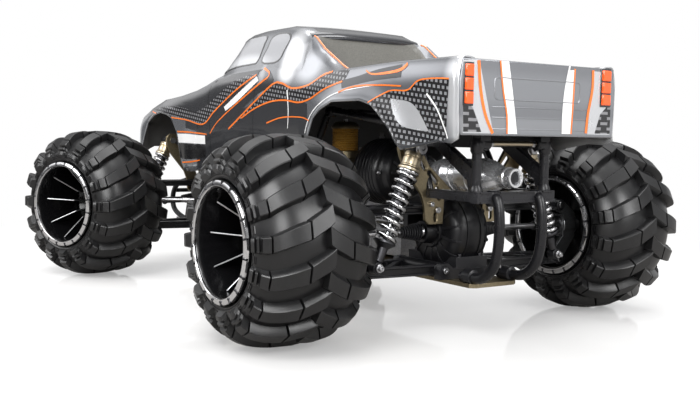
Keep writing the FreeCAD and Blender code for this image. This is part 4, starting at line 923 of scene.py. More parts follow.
def film(build, skin, view, upper, lower, slot, level=1, spacing=4.0):
    """A painted area between two (u, v) lines, laid on the shell."""
    length = sum((Vector(b) - Vector(a)).length for a, b in zip(upper, upper[1:]))
    count = max(4, round(length / spacing))
    top, low = resample(upper, count), resample(lower, count)
    gap = max((a - b).length for a, b in zip(top, low))
    rows = max(1, math.ceil(gap / spacing)) + 1
    rows = max(rows, 2)
    grid = {}
    for i in range(count):
        for r in range(rows):
            p = top[i].lerp(low[i], r / (rows - 1))
            point = skin.drop(view, p.x, p.y, 0.12 * level)
            if point is not None:
                grid[i, r] = len(build.verts)
                build.verts.append(point)
    for i in range(count - 1):
        for r in range(rows - 1):
            keys = [(i, r), (i + 1, r), (i + 1, r + 1), (i, r + 1)]
            if all(k in grid for k in keys):
                corners = [grid[k] for k in keys]
                longest = max((build.verts[a] - build.verts[b]).length for a in corners for b in corners)
                if longest < spacing * 6:
                    build.faces.append(tuple(corners))
                    build.slots.append(slot)


def stroke(build, skin, view, points, width, slot, level=2, end_width=None):
    """A painted line of tapering width."""
    end_width = width if end_width is None else end_width
    fine = resample(points, max(4, len(points) * 4))
    upper, lower = [], []
    for i, p in enumerate(fine):
        ahead = fine[min(i + 1, len(fine) - 1)] - fine[max(i - 1, 0)]
        across = Vector((-ahead.y, ahead.x, 0)).normalized()
        half = lerp(width, end_width, i / (len(fine) - 1)) / 2
        upper.append((p + across * half).xy)
        lower.append((p - across * half).xy)
    film(build, skin, view, upper, lower, slot, level, spacing=3.0)


SIDE_FILMS = [
    # slot, level, upper line, lower line
    (1, 1, [(-330, 217), (-290, 226), (-250, 236), (-200, 241), (-150, 247), (-119, 252), (-88, 259),
            (-40, 262), (30, 264)],
     [(-330, 208), (-290, 219), (-244, 213), (-179, 208), (-125, 202), (-91, 218), (-60, 231), (-33, 242),
      (18, 259)]),
    (1, 1, [(-179, 207), (-125, 201), (-91, 217), (-44, 238), (-10, 250)],
     [(-179, 196), (-125, 190), (-84, 192), (-40, 212), (0, 232)]),
    (1, 1, [(-146, 205), (-107, 196), (-80, 205), (-40, 214), (-18, 219), (16, 223), (53, 228), (87, 229),
            (116, 227), (134, 222)],
     [(-146, 142), (-107, 145), (-60, 149), (0, 151), (60, 152), (100, 153), (116, 154), (125, 162), (131, 176),
      (136, 188)]),
    (5, 2, [(-53, 195), (-18, 211), (25, 231), (61, 246), (79, 246), (100, 240), (120, 240), (140, 243),
            (162, 251), (177, 253), (212, 255)],
     [(-50, 193), (-18, 208), (16, 219), (53, 226), (87, 227), (116, 224), (140, 227), (159, 233), (177, 238),
      (205, 243), (212, 253)]),
    (5, 2, [(-286, 222), (-231, 226), (-179, 222), (-143, 217), (-91, 233), (-44, 251), (1, 259)],
     [(-293, 219), (-244, 212), (-179, 207), (-125, 201), (-91, 217), (-33, 241), (18, 258)]),
    (1, 2, [(-115, 189), (-80, 206), (-13, 233), (36, 252), (45, 258), (31, 264)],
     [(-118, 178), (-84, 192), (-30, 213), (20, 234), (60, 247), (46, 262)]),
    (5, 2, [(256, 221), (285, 231), (312, 231), (328, 239), (350, 240), (370, 239)],
     [(262, 216), (276, 204), (292, 193), (303, 178), (340, 181), (366, 187)]),
    (2, 3, [(287, 224), (316, 220), (330, 210), (343, 194)], [(292, 212), (303, 200), (322, 195.5),
                                                              (343, 194)]),
    (1, 2, [(202, 244), (230, 247), (262, 252), (300, 255)], [(206, 236), (240, 240), (268, 242), (302, 243)]),
    (3, 2, [(-203, 188), (-180, 188), (-152, 187), (-120, 186)], [(-199, 176), (-178, 176), (-152, 175.5),
                                                                  (-120, 175)]),
    (6, 2, [(-199, 175), (-170, 175), (-146, 174), (-120, 172)], [(-194, 156), (-176, 154), (-146, 156),
                                                                  (-120, 158)]),
    (7, 2, [(-98, 266), (-73, 284), (-47, 301), (-36, 304), (-14, 305), (8, 304.5), (12, 301)],
     [(-92, 264.5), (-74, 268), (-50, 270.5), (-34, 271.5), (-14, 272), (2, 272.5), (6, 276)]),
    (7, 2, [(23, 290), (26, 300), (34, 303.5), (48, 304), (60, 303), (67, 299), (68, 293)],
     [(17, 280), (19, 274), (26, 271.5), (38, 271), (50, 271.5), (57, 275), (61, 283)]),
    (3, 3, [(-64, 222), (-30, 236), (20, 256)], [(-60, 217), (-26, 229), (25, 251)]),
]
FRONT_FILMS = [
    (6, 1, [(29, 204), (45, 203), (61, 198)], [(33, 187), (46, 186), (61, 186)]),
    (7, 2, [(32, 201.5), (45, 200.5), (58.5, 196)], [(35.5, 189.5), (46, 188.5), (58.5, 188.5)]),
    (6, 1, [(-0.2, 199), (12, 199), (24, 198)], [(-0.2, 180), (12, 180), (28, 180)]),
    (2, 2, [(-0.2, 195.5), (12, 195.5), (24, 195)], [(-0.2, 193.5), (12, 193.5), (24, 193)]),
    (2, 2, [(-0.2, 190.5), (12, 190.5), (25, 190)], [(-0.2, 188.5), (12, 188.5), (25, 188)]),
    (2, 2, [(-0.2, 185.5), (12, 185.5), (26, 185)], [(-0.2, 183.5), (12, 183.5), (26, 183)]),
]
SIDE_STROKES = [
    # slot, level, points, start width, end width
    (4, 4, [(-53, 195), (-18, 211), (25, 231), (61, 246), (79, 246), (100, 240), (120, 240), (140, 243),
            (162, 251), (180, 254)], 2.2, 2.0),
    (4, 4, [(-18, 208), (16, 219), (53, 226), (87, 227), (116, 224), (140, 227), (159, 233), (177, 238),
            (205, 243)], 1.8, 1.8),
    (4, 4, [(-293, 219), (-244, 212), (-179, 207), (-125, 201), (-91, 217), (-33, 241), (18, 258)], 1.5, 2.2),
    (4, 4, [(-105, 189), (-80, 205), (-13, 232), (38, 251), (50, 257), (32, 265)], 1.4, 2.4),
    (4, 4, [(44, 202), (79, 208), (121, 208), (140, 204)], 1.6, 1.2),
    (4, 4, [(-206, 191), (-160, 190), (-115, 188)], 2.0, 1.6),
    (4, 4, [(-195, 149), (-165, 151), (-137, 154)], 2.0, 1.6),
    (4, 4, [(308, 255), (300, 250), (279, 248), (255, 248), (243, 252)], 3.4, 1.2),
    (4, 4, [(201, 232), (228, 237), (267, 237), (303, 235)], 1.6, 1.4),
    (4, 4, [(255, 221), (285, 231), (312, 231), (328, 239), (350, 240), (370, 239)], 1.3, 1.3),
    (3, 4, [(340, 227), (354, 214), (364, 198), (369, 188)], 2.2, 1.2),
    (3, 3, [(131, 191), (139, 206), (157, 219), (194, 231), (244, 236), (274, 237)], 1.6, 0.6),
    (6, 3, [(4, 272), (-14, 271.5), (-34, 271), (-50, 270), (-74, 267.5), (-96, 264), (-98, 266.5),
            (-73, 284.5), (-47, 301.5),
            (-36, 304.5), (-14, 305.5), (6, 305.5), (12.5, 303), (13, 298), (10, 287), (7, 276), (4, 272)], 1.7,
     1.7),
    (6, 3, [(26, 271), (38, 270.5), (50, 271), (58, 274.5), (63, 284), (69, 295), (68, 300), (60, 304),
            (48, 304.8),
            (34, 304.2), (25.5, 300.5), (22.5, 290), (17, 280), (18.5, 273.5), (26, 271)], 1.7, 1.7),
    (6, 3, [(22, 262), (16, 240), (10, 205), (10, 156)], 0.9, 0.9),
    (6, 3, [(-104, 250), (-110, 225), (-106, 190), (-104, 150)], 0.9, 0.9),
    (3, 3, [(92, 238), (94, 215), (92, 196)], 2.5, 1.0),
]
TAIL_FILMS = [
    (2, 1, [(94, 254), (84, 255), (76, 255)], [(93, 193), (70, 193), (58, 193)]),
    (2, 1, [(-66, 257), (-78, 257), (-86, 257)], [(-60, 194), (-78, 194), (-91, 194)]),
    (3, 2, [(51, 256), (47, 231), (42, 210), (41, 193)], [(42, 256), (37, 232), (33, 210), (30, 193)]),
    (3, 2, [(-33, 256), (-28, 234), (-26, 212), (-26, 194)], [(-41, 257), (-40, 235), (-39, 212), (-38, 194)]),
    (5, 2, [(93.5, 222), (88, 219), (82, 214)], [(92.5, 194), (84, 194), (72, 194)]),
    (5, 2, [(-77, 213), (-84, 219), (-91, 224)], [(-70, 195), (-80, 195), (-91, 195)]),
]
TAIL_STROKES = [
    (4, 3, [(77, 255), (74, 230), (68, 209), (59, 193)], 3.4, 3.0),
    (4, 3, [(-65, 257), (-65, 236), (-60, 213), (-58, 195)], 3.2, 3.0),
    (4, 3, [(52, 256), (48, 231), (43, 210), (42, 193)], 1.8, 1.8),
    (4, 3, [(-41, 257), (-40, 235), (-39, 212), (-38, 194)], 2.0, 2.0),
]


def body_shell():
    """The painted shell with its tail, its print, lamps, pressings and lines."""
    surface = shell_surface()
    tail = Build()
    outer = [(94.5, 256.5), (95.5, 246), (97.2, 236), (96.6, 210), (94.6, 191)]
    outline = outer + [(-x, z) for x, z in reversed(outer)]
    prism(tail, outline, 380.4, 383.2, axis="y")
    skin = Skin(surface, tail)
    shell = surface.object("painted_shell", [GREY_PAINT, WINDOW, REAR_WINDOW, INSIDE, INSIDE, INSIDE], smooth=0)
    weld(shell)
    thicken(shell, 1.5, inner_slot=3)
    shade(shell.data, 38)
    finish_piece(shell, "chassis", "shell_paint", "body_shell")
    gate = tail.object("tailgate", GATE_SHEEN_PAINT, bevel=1.2, segments=3)
    finish_piece(gate, "chassis", "shell_paint", "body_shell")

    films = Build()
    for view in ("left", "right"):
        for slot, level, upper, lower in SIDE_FILMS:
            film(films, skin, view, upper, lower, slot, level)
        for slot, level, points, width, end_width in SIDE_STROKES:
            stroke(films, skin, view, points, width, slot, level, end_width)
    for slot, level, upper, lower in TAIL_FILMS:
        film(films, skin, "rear", upper, lower, slot, level)
    for slot, level, points, width, end_width in TAIL_STROKES:
        stroke(films, skin, "rear", points, width, slot, level, end_width)
    film(films, skin, "top", [(-74, -330), (-78, -260), (-80, -180), (-80, -100)], [(74, -330), (78, -260),
                                                                                    (80, -180), (80, -100)],
         1, 1, spacing=7)
    film(films, skin, "top", [(-60, 70), (-60, 84), (-60, 96), (-60, 106)], [(60, 70), (60, 84), (60, 96),
                                                                             (60, 106)], 1, 1, spacing=6)
    for mirror in (1, -1):
        for inner, outer_x, slot, level in ((10, 13, 4, 3), (13, 30, 5, 2), (30, 32, 4, 3)):
            upper = [(mirror * inner * 0.7, -355), (mirror * inner, -260), (mirror * inner * 1.25, -150),
                     (mirror * inner * 1.4, -98)]
            lower = [(mirror * outer_x * 0.7, -355), (mirror * outer_x, -260), (mirror * outer_x * 1.25, -150),
                     (mirror * outer_x * 1.4, -98)]
            film(films, skin, "top", upper, lower, slot, level, spacing=6)
        for slot, level, upper, lower in FRONT_FILMS:
            film(films, skin, "front", [(mirror * x, z) for x, z in upper], [(mirror * x, z) for x, z in lower],
                 slot, level, spacing=3)
    materials = [GREY_PAINT, DARK_PAINT, SILVER_PAINT, WHITE_PAINT, ORANGE_PAINT, DASHES, BLACK_PAINT, WINDOW]
    graphics = films.object("shell_graphics", materials, smooth=38)
    finish_piece(graphics, "chassis", "shell_paint", "body_shell")

    lamps = Build()
    frames = Build()
    for low_x, high_x, low_z, high_z in ((83.5, 92.5, 217, 252), (-88.5, -77, 221, 255)):
        step = (high_z - low_z) / 3
        block(frames, (low_x - 1, 382.4, low_z - 1), (high_x + 1, 384.2, high_z + 1))
        for k in range(3):
            block(lamps, (low_x, 383, low_z + k * step + 0.6), (high_x, 386, low_z + (k + 1) * step - 0.6))
    panel = Build()
    bead = []
    for cx, cz, start in ((54, 238, 0), (-45, 238, 90), (-45, 226, 180), (54, 226, 270)):
        for k in range(5):
            a = math.radians(start + 22.5 * k)
            bead.append((cx + 3.5 * math.cos(a), 382.9, cz + 3.5 * math.sin(a)))
    tube(panel, bead, 0.75, 8, closed=True)
    for z in (216, 207, 197):
        tube(panel, [(-58, 382.7, z), (60, 382.7, z)], 0.8, 8)
    for build, name, paint, width in ((lamps, "tail_lamps", LAMP, 1.0), (frames, "lamp_surrounds", BLACK_PAINT,
                                                                         0.5),
                                      (panel, "tailgate_pressings", GATE_SHEEN_PAINT, 0.5)):
        obj = build.object(name, paint, bevel=width, segments=3)
        finish_piece(obj, "chassis", "shell_paint", "body_shell")

    # Rounded lip along the roof's rear edge in dark paint: painted shade under the overhang.
    lines = Build()
    tube(lines, [(x, 106.5 - (abs(x) / 72) ** 4 * 5,
                  298.6 - (abs(x) / 72) ** 4 * 3) for x in range(-72, 73, 4)], 5.4, 20)
    shaded_roof_lip = lines.object("roof_rear_lip_painted_shade", DARK_PAINT)
    finish_piece(shaded_roof_lip, "chassis", "shell_paint", "body_shell")
    edges = Build()
    for mirror in (1, -1):
        tube(edges, [(mirror * x, y, z) for x, y, z in ((73.5, 112, 296.8), (74.2, 118, 294.9),
                                                        (75.2, 138, 280.9),
                                                        (77, 161, 269.6), (78.6, 177, 261.8),
                                                        (80, 193, 255.4))], 0.9, 8)
    edge_line = edges.object("buttress_lines", ORANGE_PAINT)
    finish_piece(edge_line, "chassis", "shell_paint", "body_shell")


# ---------------------------------------------------------------- suspension and drivetrain

def corner_place(side, end):
    """Turns a piece drawn at the rear left, about its axle centre, into another corner."""
    return Matrix.Translation((0, end * 260, 0)) @ Matrix.Diagonal((side, end, 1, 1))


def barrel(build, x, z, y_low, y_high, radius):
    """A bush along Y with chamfered ends and an open bore."""
    edge, bore = 0.6, 2.6
    turned(build, (x, y_low, z), (0, 1, 0),
           [(0, bore), (0, radius - edge), (edge, radius), (y_high - y_low - edge, radius),
            (y_high - y_low, radius - edge),
            (y_high - y_low, bore)], 28, closed=True)


def beam(build, start, end, wide, deep, end_wide=None, end_deep=None):
    """A straight I-section strut between two points: wide is across in plan and deep is upright."""
    start, end = Vector(start), Vector(end)
    ahead = (end - start).normalized()
    up = Vector((0, 0, 1))
    across = ahead.cross(up).normalized()
    up = across.cross(ahead)
    verts = []
    for at, w, d in ((start, wide, deep), (end, end_wide or wide, end_deep or deep)):
        half, tall = w / 2, d / 2
        lip = min(1.6, tall * 0.4)
        web = half * 0.44
        shape = [(-half, -tall), (half, -tall), (half, -tall + lip), (web, -tall + lip + 0.8),
                 (web, tall - lip - 0.8),
                 (half, tall - lip), (half, tall), (-half, tall), (-half, tall - lip), (-web, tall - lip - 0.8),
                 (-web, -tall + lip + 0.8), (-half, -tall + lip)]
        verts += [at + across * u + up * v for u, v in shape]
    faces = ring_faces(12, 2) + [tuple(range(12)), tuple(range(12, 24))]
    build.add(verts, faces)


def lower_arms():
    """Ribbed A-arm, open between its struts, with a fork for the hub carrier and the shock's mount."""
    for corner, side, end in CORNERS:
        place = corner_place(side, end)
        build = Build()
        barrel(build, 34, 60, -34, 26, 7)
        for low, high in ((-17.5, -11), (11, 17.5)):
            barrel(build, 142, 60, low, high, 7)
        beam(build, (38, -29, 60), (132, -14.5, 60), 9.5, 10, 6, 9.5)
        beam(build, (38, 21, 60), (132, 14.5, 60), 9.5, 10, 6, 9.5)
        beam(build, (44, -27, 60), (92, 15, 60), 5, 7.5)
        beam(build, (92, -17, 60), (122, 16, 60), 5, 7.5)
        beam(build, (121, -18, 60), (121, 18, 60), 7, 9.5)
        block(build, (112, -17.2, 55.6), (136, -11.2, 64.4))
        block(build, (112, 11.2, 55.6), (136, 17.2, 64.4))
        prism(build, [(104, 62), (128, 62), (123, 72.6), (116, 74.5), (109, 72.6)], 16.5, 24, axis="y")
        turned(build, (116, 16, 68), (0, 1, 0), [(0, 5.4), (1, 6.2), (7.4, 6.2), (8, 5.4)], 24)
        for x in (66, 84, 104):
            block(build, (x, -2 - (104 - x) * 0.26 - 19.5, 56.2), (x + 1.4, -12 - (104 - x) * 0.1, 63.8))
        turned(build, (142, -18.7, 60), (0, 1, 0), [(0, 3.6), (0.4, 4), (1.2, 4), (1.2, 2.5), (36.2, 2.5),
                                                    (36.2, 4),
                                                    (37.0, 4), (37.4, 3.6)], 20, slot=1)
        turned(build, (116, 14, 68), (0, 1, 0), [(0, 2.3), (0.3, 2.5), (24.5, 2.5), (24.5, 4), (26.2, 4),
                                                 (26.5, 3.7)], 20, slot=1)
        cap_screw(build, (116, 40.4, 68), (0, 1, 0), 2.6, slot=1)
        arm = build.object(f"lower_a_arm_{corner}", [NYLON, STEEL], place, bevel=0.5, smooth=40)
        finish_piece(arm, f"lower_arm_{corner}", "black_nylon", f"lower_arm_{corner}")


def upper_arms():
    """Slimmer A-arm above, with a fork at the hub carrier."""
    for corner, side, end in CORNERS:
        place = corner_place(side, end)
        build = Build()
        barrel(build, 34, 118, -20, 15.5, 6)
        for low, high in ((-17, -11), (11, 17)):
            barrel(build, 142, 118, low, high, 6)
        beam(build, (38, -15.5, 118), (134, -14, 118), 8, 7.5, 6, 7.5)
        beam(build, (38, 11, 118), (134, 14, 118), 8, 7.5, 6, 7.5)
        beam(build, (44, -13, 118), (84, 11, 118), 4.4, 6)
        beam(build, (86, -12, 118), (116, 12, 118), 4.4, 6)
        beam(build, (120, -15, 118), (120, 15, 118), 7, 7)
        turned(build, (142, -18.4, 118), (0, 1, 0), [(0, 3.4), (0.4, 3.8), (1.2, 3.8), (1.2, 2.5), (35.6, 2.5),
                                                     (35.6, 3.8),
                                                     (36.4, 3.8), (36.8, 3.4)], 20, slot=1)
        arm = build.object(f"upper_a_arm_{corner}", [NYLON, STEEL], place, bevel=0.45, smooth=40)
        finish_piece(arm, f"upper_arm_{corner}", "black_nylon", f"upper_arm_{corner}")


def half_shafts():
    """Ball-ended drive shafts with cross pins and rubber boots."""
    for corner, side, end in CORNERS:
        place = corner_place(side, end)
        build = Build()
        turned(build, (34, 0, 95), (1, 0, 0), [(-6, 0.3), (-5.4, 2.9), (-3.4, 4.9), (0, 6), (3.4, 4.9),
                                               (5, 3.3), (5, 3),
                                              (103, 3), (103, 3.3), (104.6, 4.9), (108, 6), (111.4, 4.9),
                                               (113.4, 2.9),
                                              (114, 0.3)], 28)
        for x in (34, 142):
            turned(build, (x, 0, 88.9), (0, 0, 1), [(0, 1.3), (0.4, 1.7), (11.8, 1.7), (12.2, 1.3)], 14)
        for k in range(9):
            turned(build, (42 + 2.6 * k, 0, 95), (1, 0, 0), [(0, 3), (0.3, 9.0 - 0.45 * k),
                                                             (1.5, 9.0 - 0.45 * k), (1.8, 3)], 28, slot=1)
        turned(build, (117, 0, 95), (1, 0, 0), [(0, 3), (0, 4.6), (0.6, 5.1), (8.4, 5.1), (9, 4.6), (9, 3)], 24,
               closed=True, slot=1)
        shaft = build.object(f"half_shaft_{corner}", [STEEL, NYLON], place, smooth=35)
        finish_piece(shaft, f"drive_shaft_{corner}", "steel", f"drive_shaft_{corner}")


def rear_carriers():
    """Cast carriers: two lugs, a ribbed web and the bearing housing."""
    for corner, side, end in CORNERS:
        if end < 0:
            continue
        place = corner_place(side, end)
        build = Build()
        for z, low, high in ((60, -10, 10), (118, -10, 10)):
            barrel(build, 142, z, low, high, 7 if z == 60 else 6.4)
        for y in (-9.4, 9.4):
            web = [(137, 55), (149, 56), (170, 82), (170, 108), (150, 123), (137, 123), (137, 113),
                   (151.5, 107), (151.5, 83),
                   (136, 66)]
            prism(build, web, y - 2, y + 2, axis="y")
        prism(build, [(147, 58), (169, 83), (169, 87), (164, 84), (150, 70), (140, 66)], -8, 8, axis="y")
        prism(build, [(149, 121), (169, 107), (169, 103), (164, 106), (152, 113), (140, 114)], -8, 8, axis="y")
        turned(build, (152.5, 0, 95), (1, 0, 0), [(0, 9.6), (0, 12.3), (0.8, 13), (17.4, 13), (18, 12.4),
                                                  (18, 9.6)], 36, closed=True)
        for start in (152.3, 165.3):
            turned(build, (start, 0, 95), (1, 0, 0), [(0, 5.2), (0, 9.4), (4.4, 9.4), (4.4, 5.2)], 30,
                   closed=True, slot=1)
        for z in (84, 106):
            for y in (-9, 9):
                cap_screw(build, (151.2, y, z), (-1, 0, 0), 1.7, slot=2)
        carrier = build.object(f"cast_carrier_{corner}", [GREY_ALLOY, STEEL, DARK_STEEL], place, bevel=0.5,
                               smooth=40)
        finish_piece(carrier, f"hub_carrier_{corner}", "knuckle_alloy", f"hub_carrier_{corner}")


def place_x(turn):
    """A turn about the differential's own axis, 95 mm above the ground."""
    return Matrix.Translation((0, 0, 95)) @ Matrix.Rotation(turn, 4, "X")


def gearboxes():
    """Round differential cases with two raised bands, ribbed shoulders, bearing caps, feet and hinge blocks."""
    for name, end in (("rear", 1), ("front", -1)):
        place = corner_place(1, end)
        build = Build()
        profile = [(-24, 9), (-24, 26), (-22.6, 31), (-19, 34.8), (-12, 37), (0, 37.6), (12, 37), (19, 34.8),
                   (22.6, 31), (24, 26),
                   (24, 9)]
        turned(build, (0, 0, 95), (1, 0, 0), profile, 64)
        for x in (-8.5, 8.5):
            turned(build, (x - 0.7, 0, 95), (1, 0, 0), [(0, 35), (0, 37.9), (0.3, 38.3), (1.1, 38.3),
                                                        (1.4, 37.9), (1.4, 35)], 64,
                   closed=True)
        for k in range(14):
            turn = place_x(math.tau * k / 14)
            for side in (1, -1):
                prism(build, [(side * 24.8, 14), (side * 24.8, 28), (side * 21, 35), (side * 15, 37.4),
                              (side * 15, 20)], -1.1, 1.1,
                      "y", turn)
        for side in (1, -1):
            turned(build, (side * 23.5, 0, 95), (side, 0, 0), [(0, 16), (2.5, 16), (3.2, 15.2), (3.4, 12),
                                                               (14, 11), (14.5, 10.4),
                                                              (14.5, 7), (4, 6.9)], 32)
            for k in range(6):
                a = math.tau * k / 6
                cap_screw(build, (side * 26.2, 13.6 * math.cos(a), 95 + 13.6 * math.sin(a)), (side, 0, 0), 1.3,
                          slot=1)
            for low, high in ((-42.5, -34.5), (26.5, 34.5)):
                prism(build, [(side * 4, 51.2), (side * 41, 51.2), (side * 41.5, 61), (side * 38, 66.5),
                              (side * 30, 67),
                              (side * 24, 62), (side * 4, 60)], low, high, axis="y")
                turned(build, (side * 34, low - 0.4, 60), (0, 1, 0), [(0, 2.6), (0, 6.4), (8.8, 6.4),
                                                                      (8.8, 2.6)], 24, closed=True)
            prism(build, [(side * 18, 88), (side * 38.5, 90), (side * 39, 118), (side * 37, 123.5),
                          (side * 31, 124),
                          (side * 27, 118), (side * 18, 112)], -28, -20.5, axis="y")
        block(build, (-20, -42, 51.1), (20, 34, 72))
        for y in (-36, 30):
            for x in (-13, 13):
                cap_screw(build, (x, y, 71.8), (0, 0, 1), 2.4, slot=1)
        prism(build, [(-18, 115), (18, 115), (17, 132), (13, 133), (-13, 133), (-17, 132)], 8.5, 15.8, axis="y")
        turned(build, (0, -28, 95), (0, -1, 0), [(0, 15), (4, 14), (6, 11), (16, 9.4), (17, 8.6), (17, 4)], 30)
        case = build.object(f"{name}_differential_case", [NYLON, DARK_STEEL], place, bevel=0.5, smooth=40)
        finish_piece(case, "chassis", "black_nylon", f"{name}_gearbox")


def towers():
    """V-shaped shock plates with lightening slots."""
    for name, end in (("rear", 1), ("front", -1)):
        place = corner_place(1, end)
        build = Build()
        half = [(12, 133), (20, 141), (44, 161), (60, 185), (65, 188), (76, 188), (81, 184), (82, 178),
                (80, 170), (74, 158),
                (64, 146), (54, 134), (50, 124), (48, 108), (44, 104), (26, 104), (25, 128)]
        prism(build, half + [(-x, z) for x, z in reversed(half)], 16, 20, axis="y")
        plate = build.object(f"{name}_shock_plate", [PLATE_GOLD], place, bevel=0.7, smooth=40)
        cutters = Build()
        for side in (1, -1):
            for x, z, length, wide, lean in ((40, 150, 13, 5, 45), (54, 164, 12, 5.5, 50), (66, 176, 5, 5, 45),
                                             (33, 134, 9, 5, 70),
                                             (36, 111, 5, 4, 90)):
                shape = []
                for k in range(16):
                    a = math.tau * k / 16
                    reach = length / 2 if math.cos(a) > 0 else -length / 2
                    u, v = reach + wide / 2 * math.cos(a), wide / 2 * math.sin(a)
                    lean_by = math.radians(lean)
                    shape.append((side * (x + u * math.cos(lean_by) - v * math.sin(lean_by)),
                                  z + u * math.sin(lean_by) + v * math.cos(lean_by)))
                prism(cutters, shape, 10, 26, axis="y")
        knife = cutters.object(f"{name}_plate_cutter", [PLATE_GOLD], place, smooth=0)
        apply_cut(plate, knife)
        finish_piece(plate, "chassis", "gold_alloy", "shock_towers")


def apply_cut(obj, knife):
    """Cuts knife out of obj's mesh, then throws the knife away."""
    bevels = [(m.width, m.segments) for m in obj.modifiers if m.type == "BEVEL"]
    obj.modifiers.clear()
    cut = obj.modifiers.new("Cut", "BOOLEAN")
    cut.operation = "DIFFERENCE"
    cut.object = knife
    cut.solver = "EXACT"
    graph = bpy.context.evaluated_depsgraph_get()
    mesh = bpy.data.meshes.new_from_object(obj.evaluated_get(graph))
    obj.modifiers.clear()
    obj.data = mesh
    bpy.data.objects.remove(knife)
    for width, segments in bevels:
        add_bevel(obj, width / MM, segments)
    shade(obj.data, 40)


def fasteners():
    """Hinge pins, shock bolts and screws of both axles."""
    for name, end in (("rear", 1), ("front", -1)):
        place = corner_place(1, end)
        build = Build()
        for side in (1, -1):
            for z, low, high in ((60, -43.5, 35.8), (118, -28.6, 21.6)):
                rod(build, (side * 34, low, z), (side * 34, high, z), 2.5)
                for y, way in ((low, -1), (high, 1)):
                    turned(build, (side * 34, y - way * 0.4, z), (0, way, 0), [(0, 3.2), (1.2, 3.2), (1.6, 2.8),
                                                                               (1.6, 1.2), (0.6, 1.1)], 16)
            turned(build, (side * 72, 20, 178), (0, 1, 0), [(0, 6.4), (1.4, 6.4), (2, 5), (6.6, 4.2),
                                                            (6.6, 2.5)], 6)
            turned(build, (side * 72, 14, 178), (0, 1, 0), [(0, 2.3), (0.3, 2.5), (26, 2.5)], 18)
            turned(build, (side * 72, 39.4, 178), (0, 1, 0), [(0, 2.5), (0, 5), (0.8, 5.6), (1.2, 5), (4.6, 5),
                                                              (5, 4.6), (5, 2.2),
                                                             (2.4, 2.1)], 20)
            turned(build, (side * 72, 14, 178), (0, 1, 0), [(0, 2.5), (0, 4.6), (1.9, 4.6), (1.9, 2.5)], 6,
                   closed=True)
            for x, z in ((12, 131), (42, 124)):
                cap_screw(build, (side * x, 20, z), (0, 1, 0), 2.6)
        pins = build.object(f"{name}_pins_and_screws", [STEEL], place, smooth=35)
        finish_piece(pins, "chassis", "steel", "fasteners")


# ---------------------------------------------------------------- rear frame, cage and bumpers

def rear_frame():
    """Nylon posts, braces and bars behind the rear axle, with the two hooked loops and the gold cross rod."""
    build = Build()
    for side in (1, -1):
        tube(build, [(side * 43, 346, 137), (side * 43, 346, 228)], 4.6, 20)
        turned(build, (side * 43, 346, 139), (0, 0, 1), [(0, 6.4), (3, 6.4), (7, 4.6)], 20)
        turned(build, (side * 43, 346, 174), (0, 0, 1), [(0, 4.6), (3, 6.2), (12, 6.2), (15, 4.6)], 20)
        prism(build, [(344, 138), (349, 134), (349, 150), (345, 160), (262, 208), (257, 200), (337, 150),
                      (340, 138)],
              side * 43 - 3.8, side * 43 + 3.8, axis="x")
        block(build, (side * 44 - 3.6, 268, 130.5), (side * 44 + 3.6, 350, 139.5))
        block(build, (side * 44 - 4.4, 280, 133), (side * 44 + 4.4, 338, 137))
        block(build, (side * 38 - 6, 268, 180), (side * 38 + 6, 352, 224))
        tube(build, [(side * 27, 352, 136), (side * 27, 358, 131), (side * 27, 361, 112), (side * 27, 360, 88),
                     (side * 26.5, 354, 70),
                     (side * 26, 340, 58.5), (side * 25, 324, 56.4), (side * 24, 308, 56)], 5.0, 22,
             smooth_points=9)
        turned(build, (side * 24.5, 326, 57), (0, -1, 0), [(0, 5), (0.8, 7), (11, 7.4), (12, 6.6), (12, 3)], 26)
        turned(build, (side * 27, 351, 126.5), (0, 0, 1), [(0, 5), (1.4, 6.4), (13, 6.4), (14.4, 5)], 24)
        cap_screw(build, (side * 27, 356.8, 135), (0, 1, 0), 2.2, slot=1)
        turned(build, (side * 40, 346, 184), (-side, 0, 0), [(0, 5.4), (1, 6.4), (9, 6.4), (10, 5.6),
                                                             (10, 2.4)], 24)
        turned(build, (side * 30, 346, 226), (0, 0, 1), [(0, 4), (3, 4), (4, 2.2), (7, 2.2), (7.4, 1.8)], 16)
    block(build, (-49, 344.5, 129.5), (49, 355, 140))
    block(build, (-46, 338, 191), (46, 352, 228))
    for low, high in ((-22, 22), (-46, -33), (33, 46)):
        block(build, (low, 354.6, 138.4), (high, 356.2, 140))
        block(build, (low, 354.6, 129.5), (high, 356.2, 131.1))
    frame_piece = build.object("rear_frame", [POWDER, DARK_STEEL], smooth=45, bevel=0.8)
    finish_piece(frame_piece, "chassis", "black_steel", "rear_bumper")
    rods = Build()
    rod(rods, (-31, 346, 184), (31, 346, 184), 2.4, steps=20, slot=0)
    for side in (1, -1):
        turned(rods, (side * 25, 346, 184), (side, 0, 0), [(0, 3.4), (3.4, 3.4), (3.8, 3)], 6, slot=1)
    gold_rod = rods.object("rear_cross_rod", [GOLD, STEEL], smooth=35)
    finish_piece(gold_rod, "chassis", "gold_alloy", "rear_bumper")


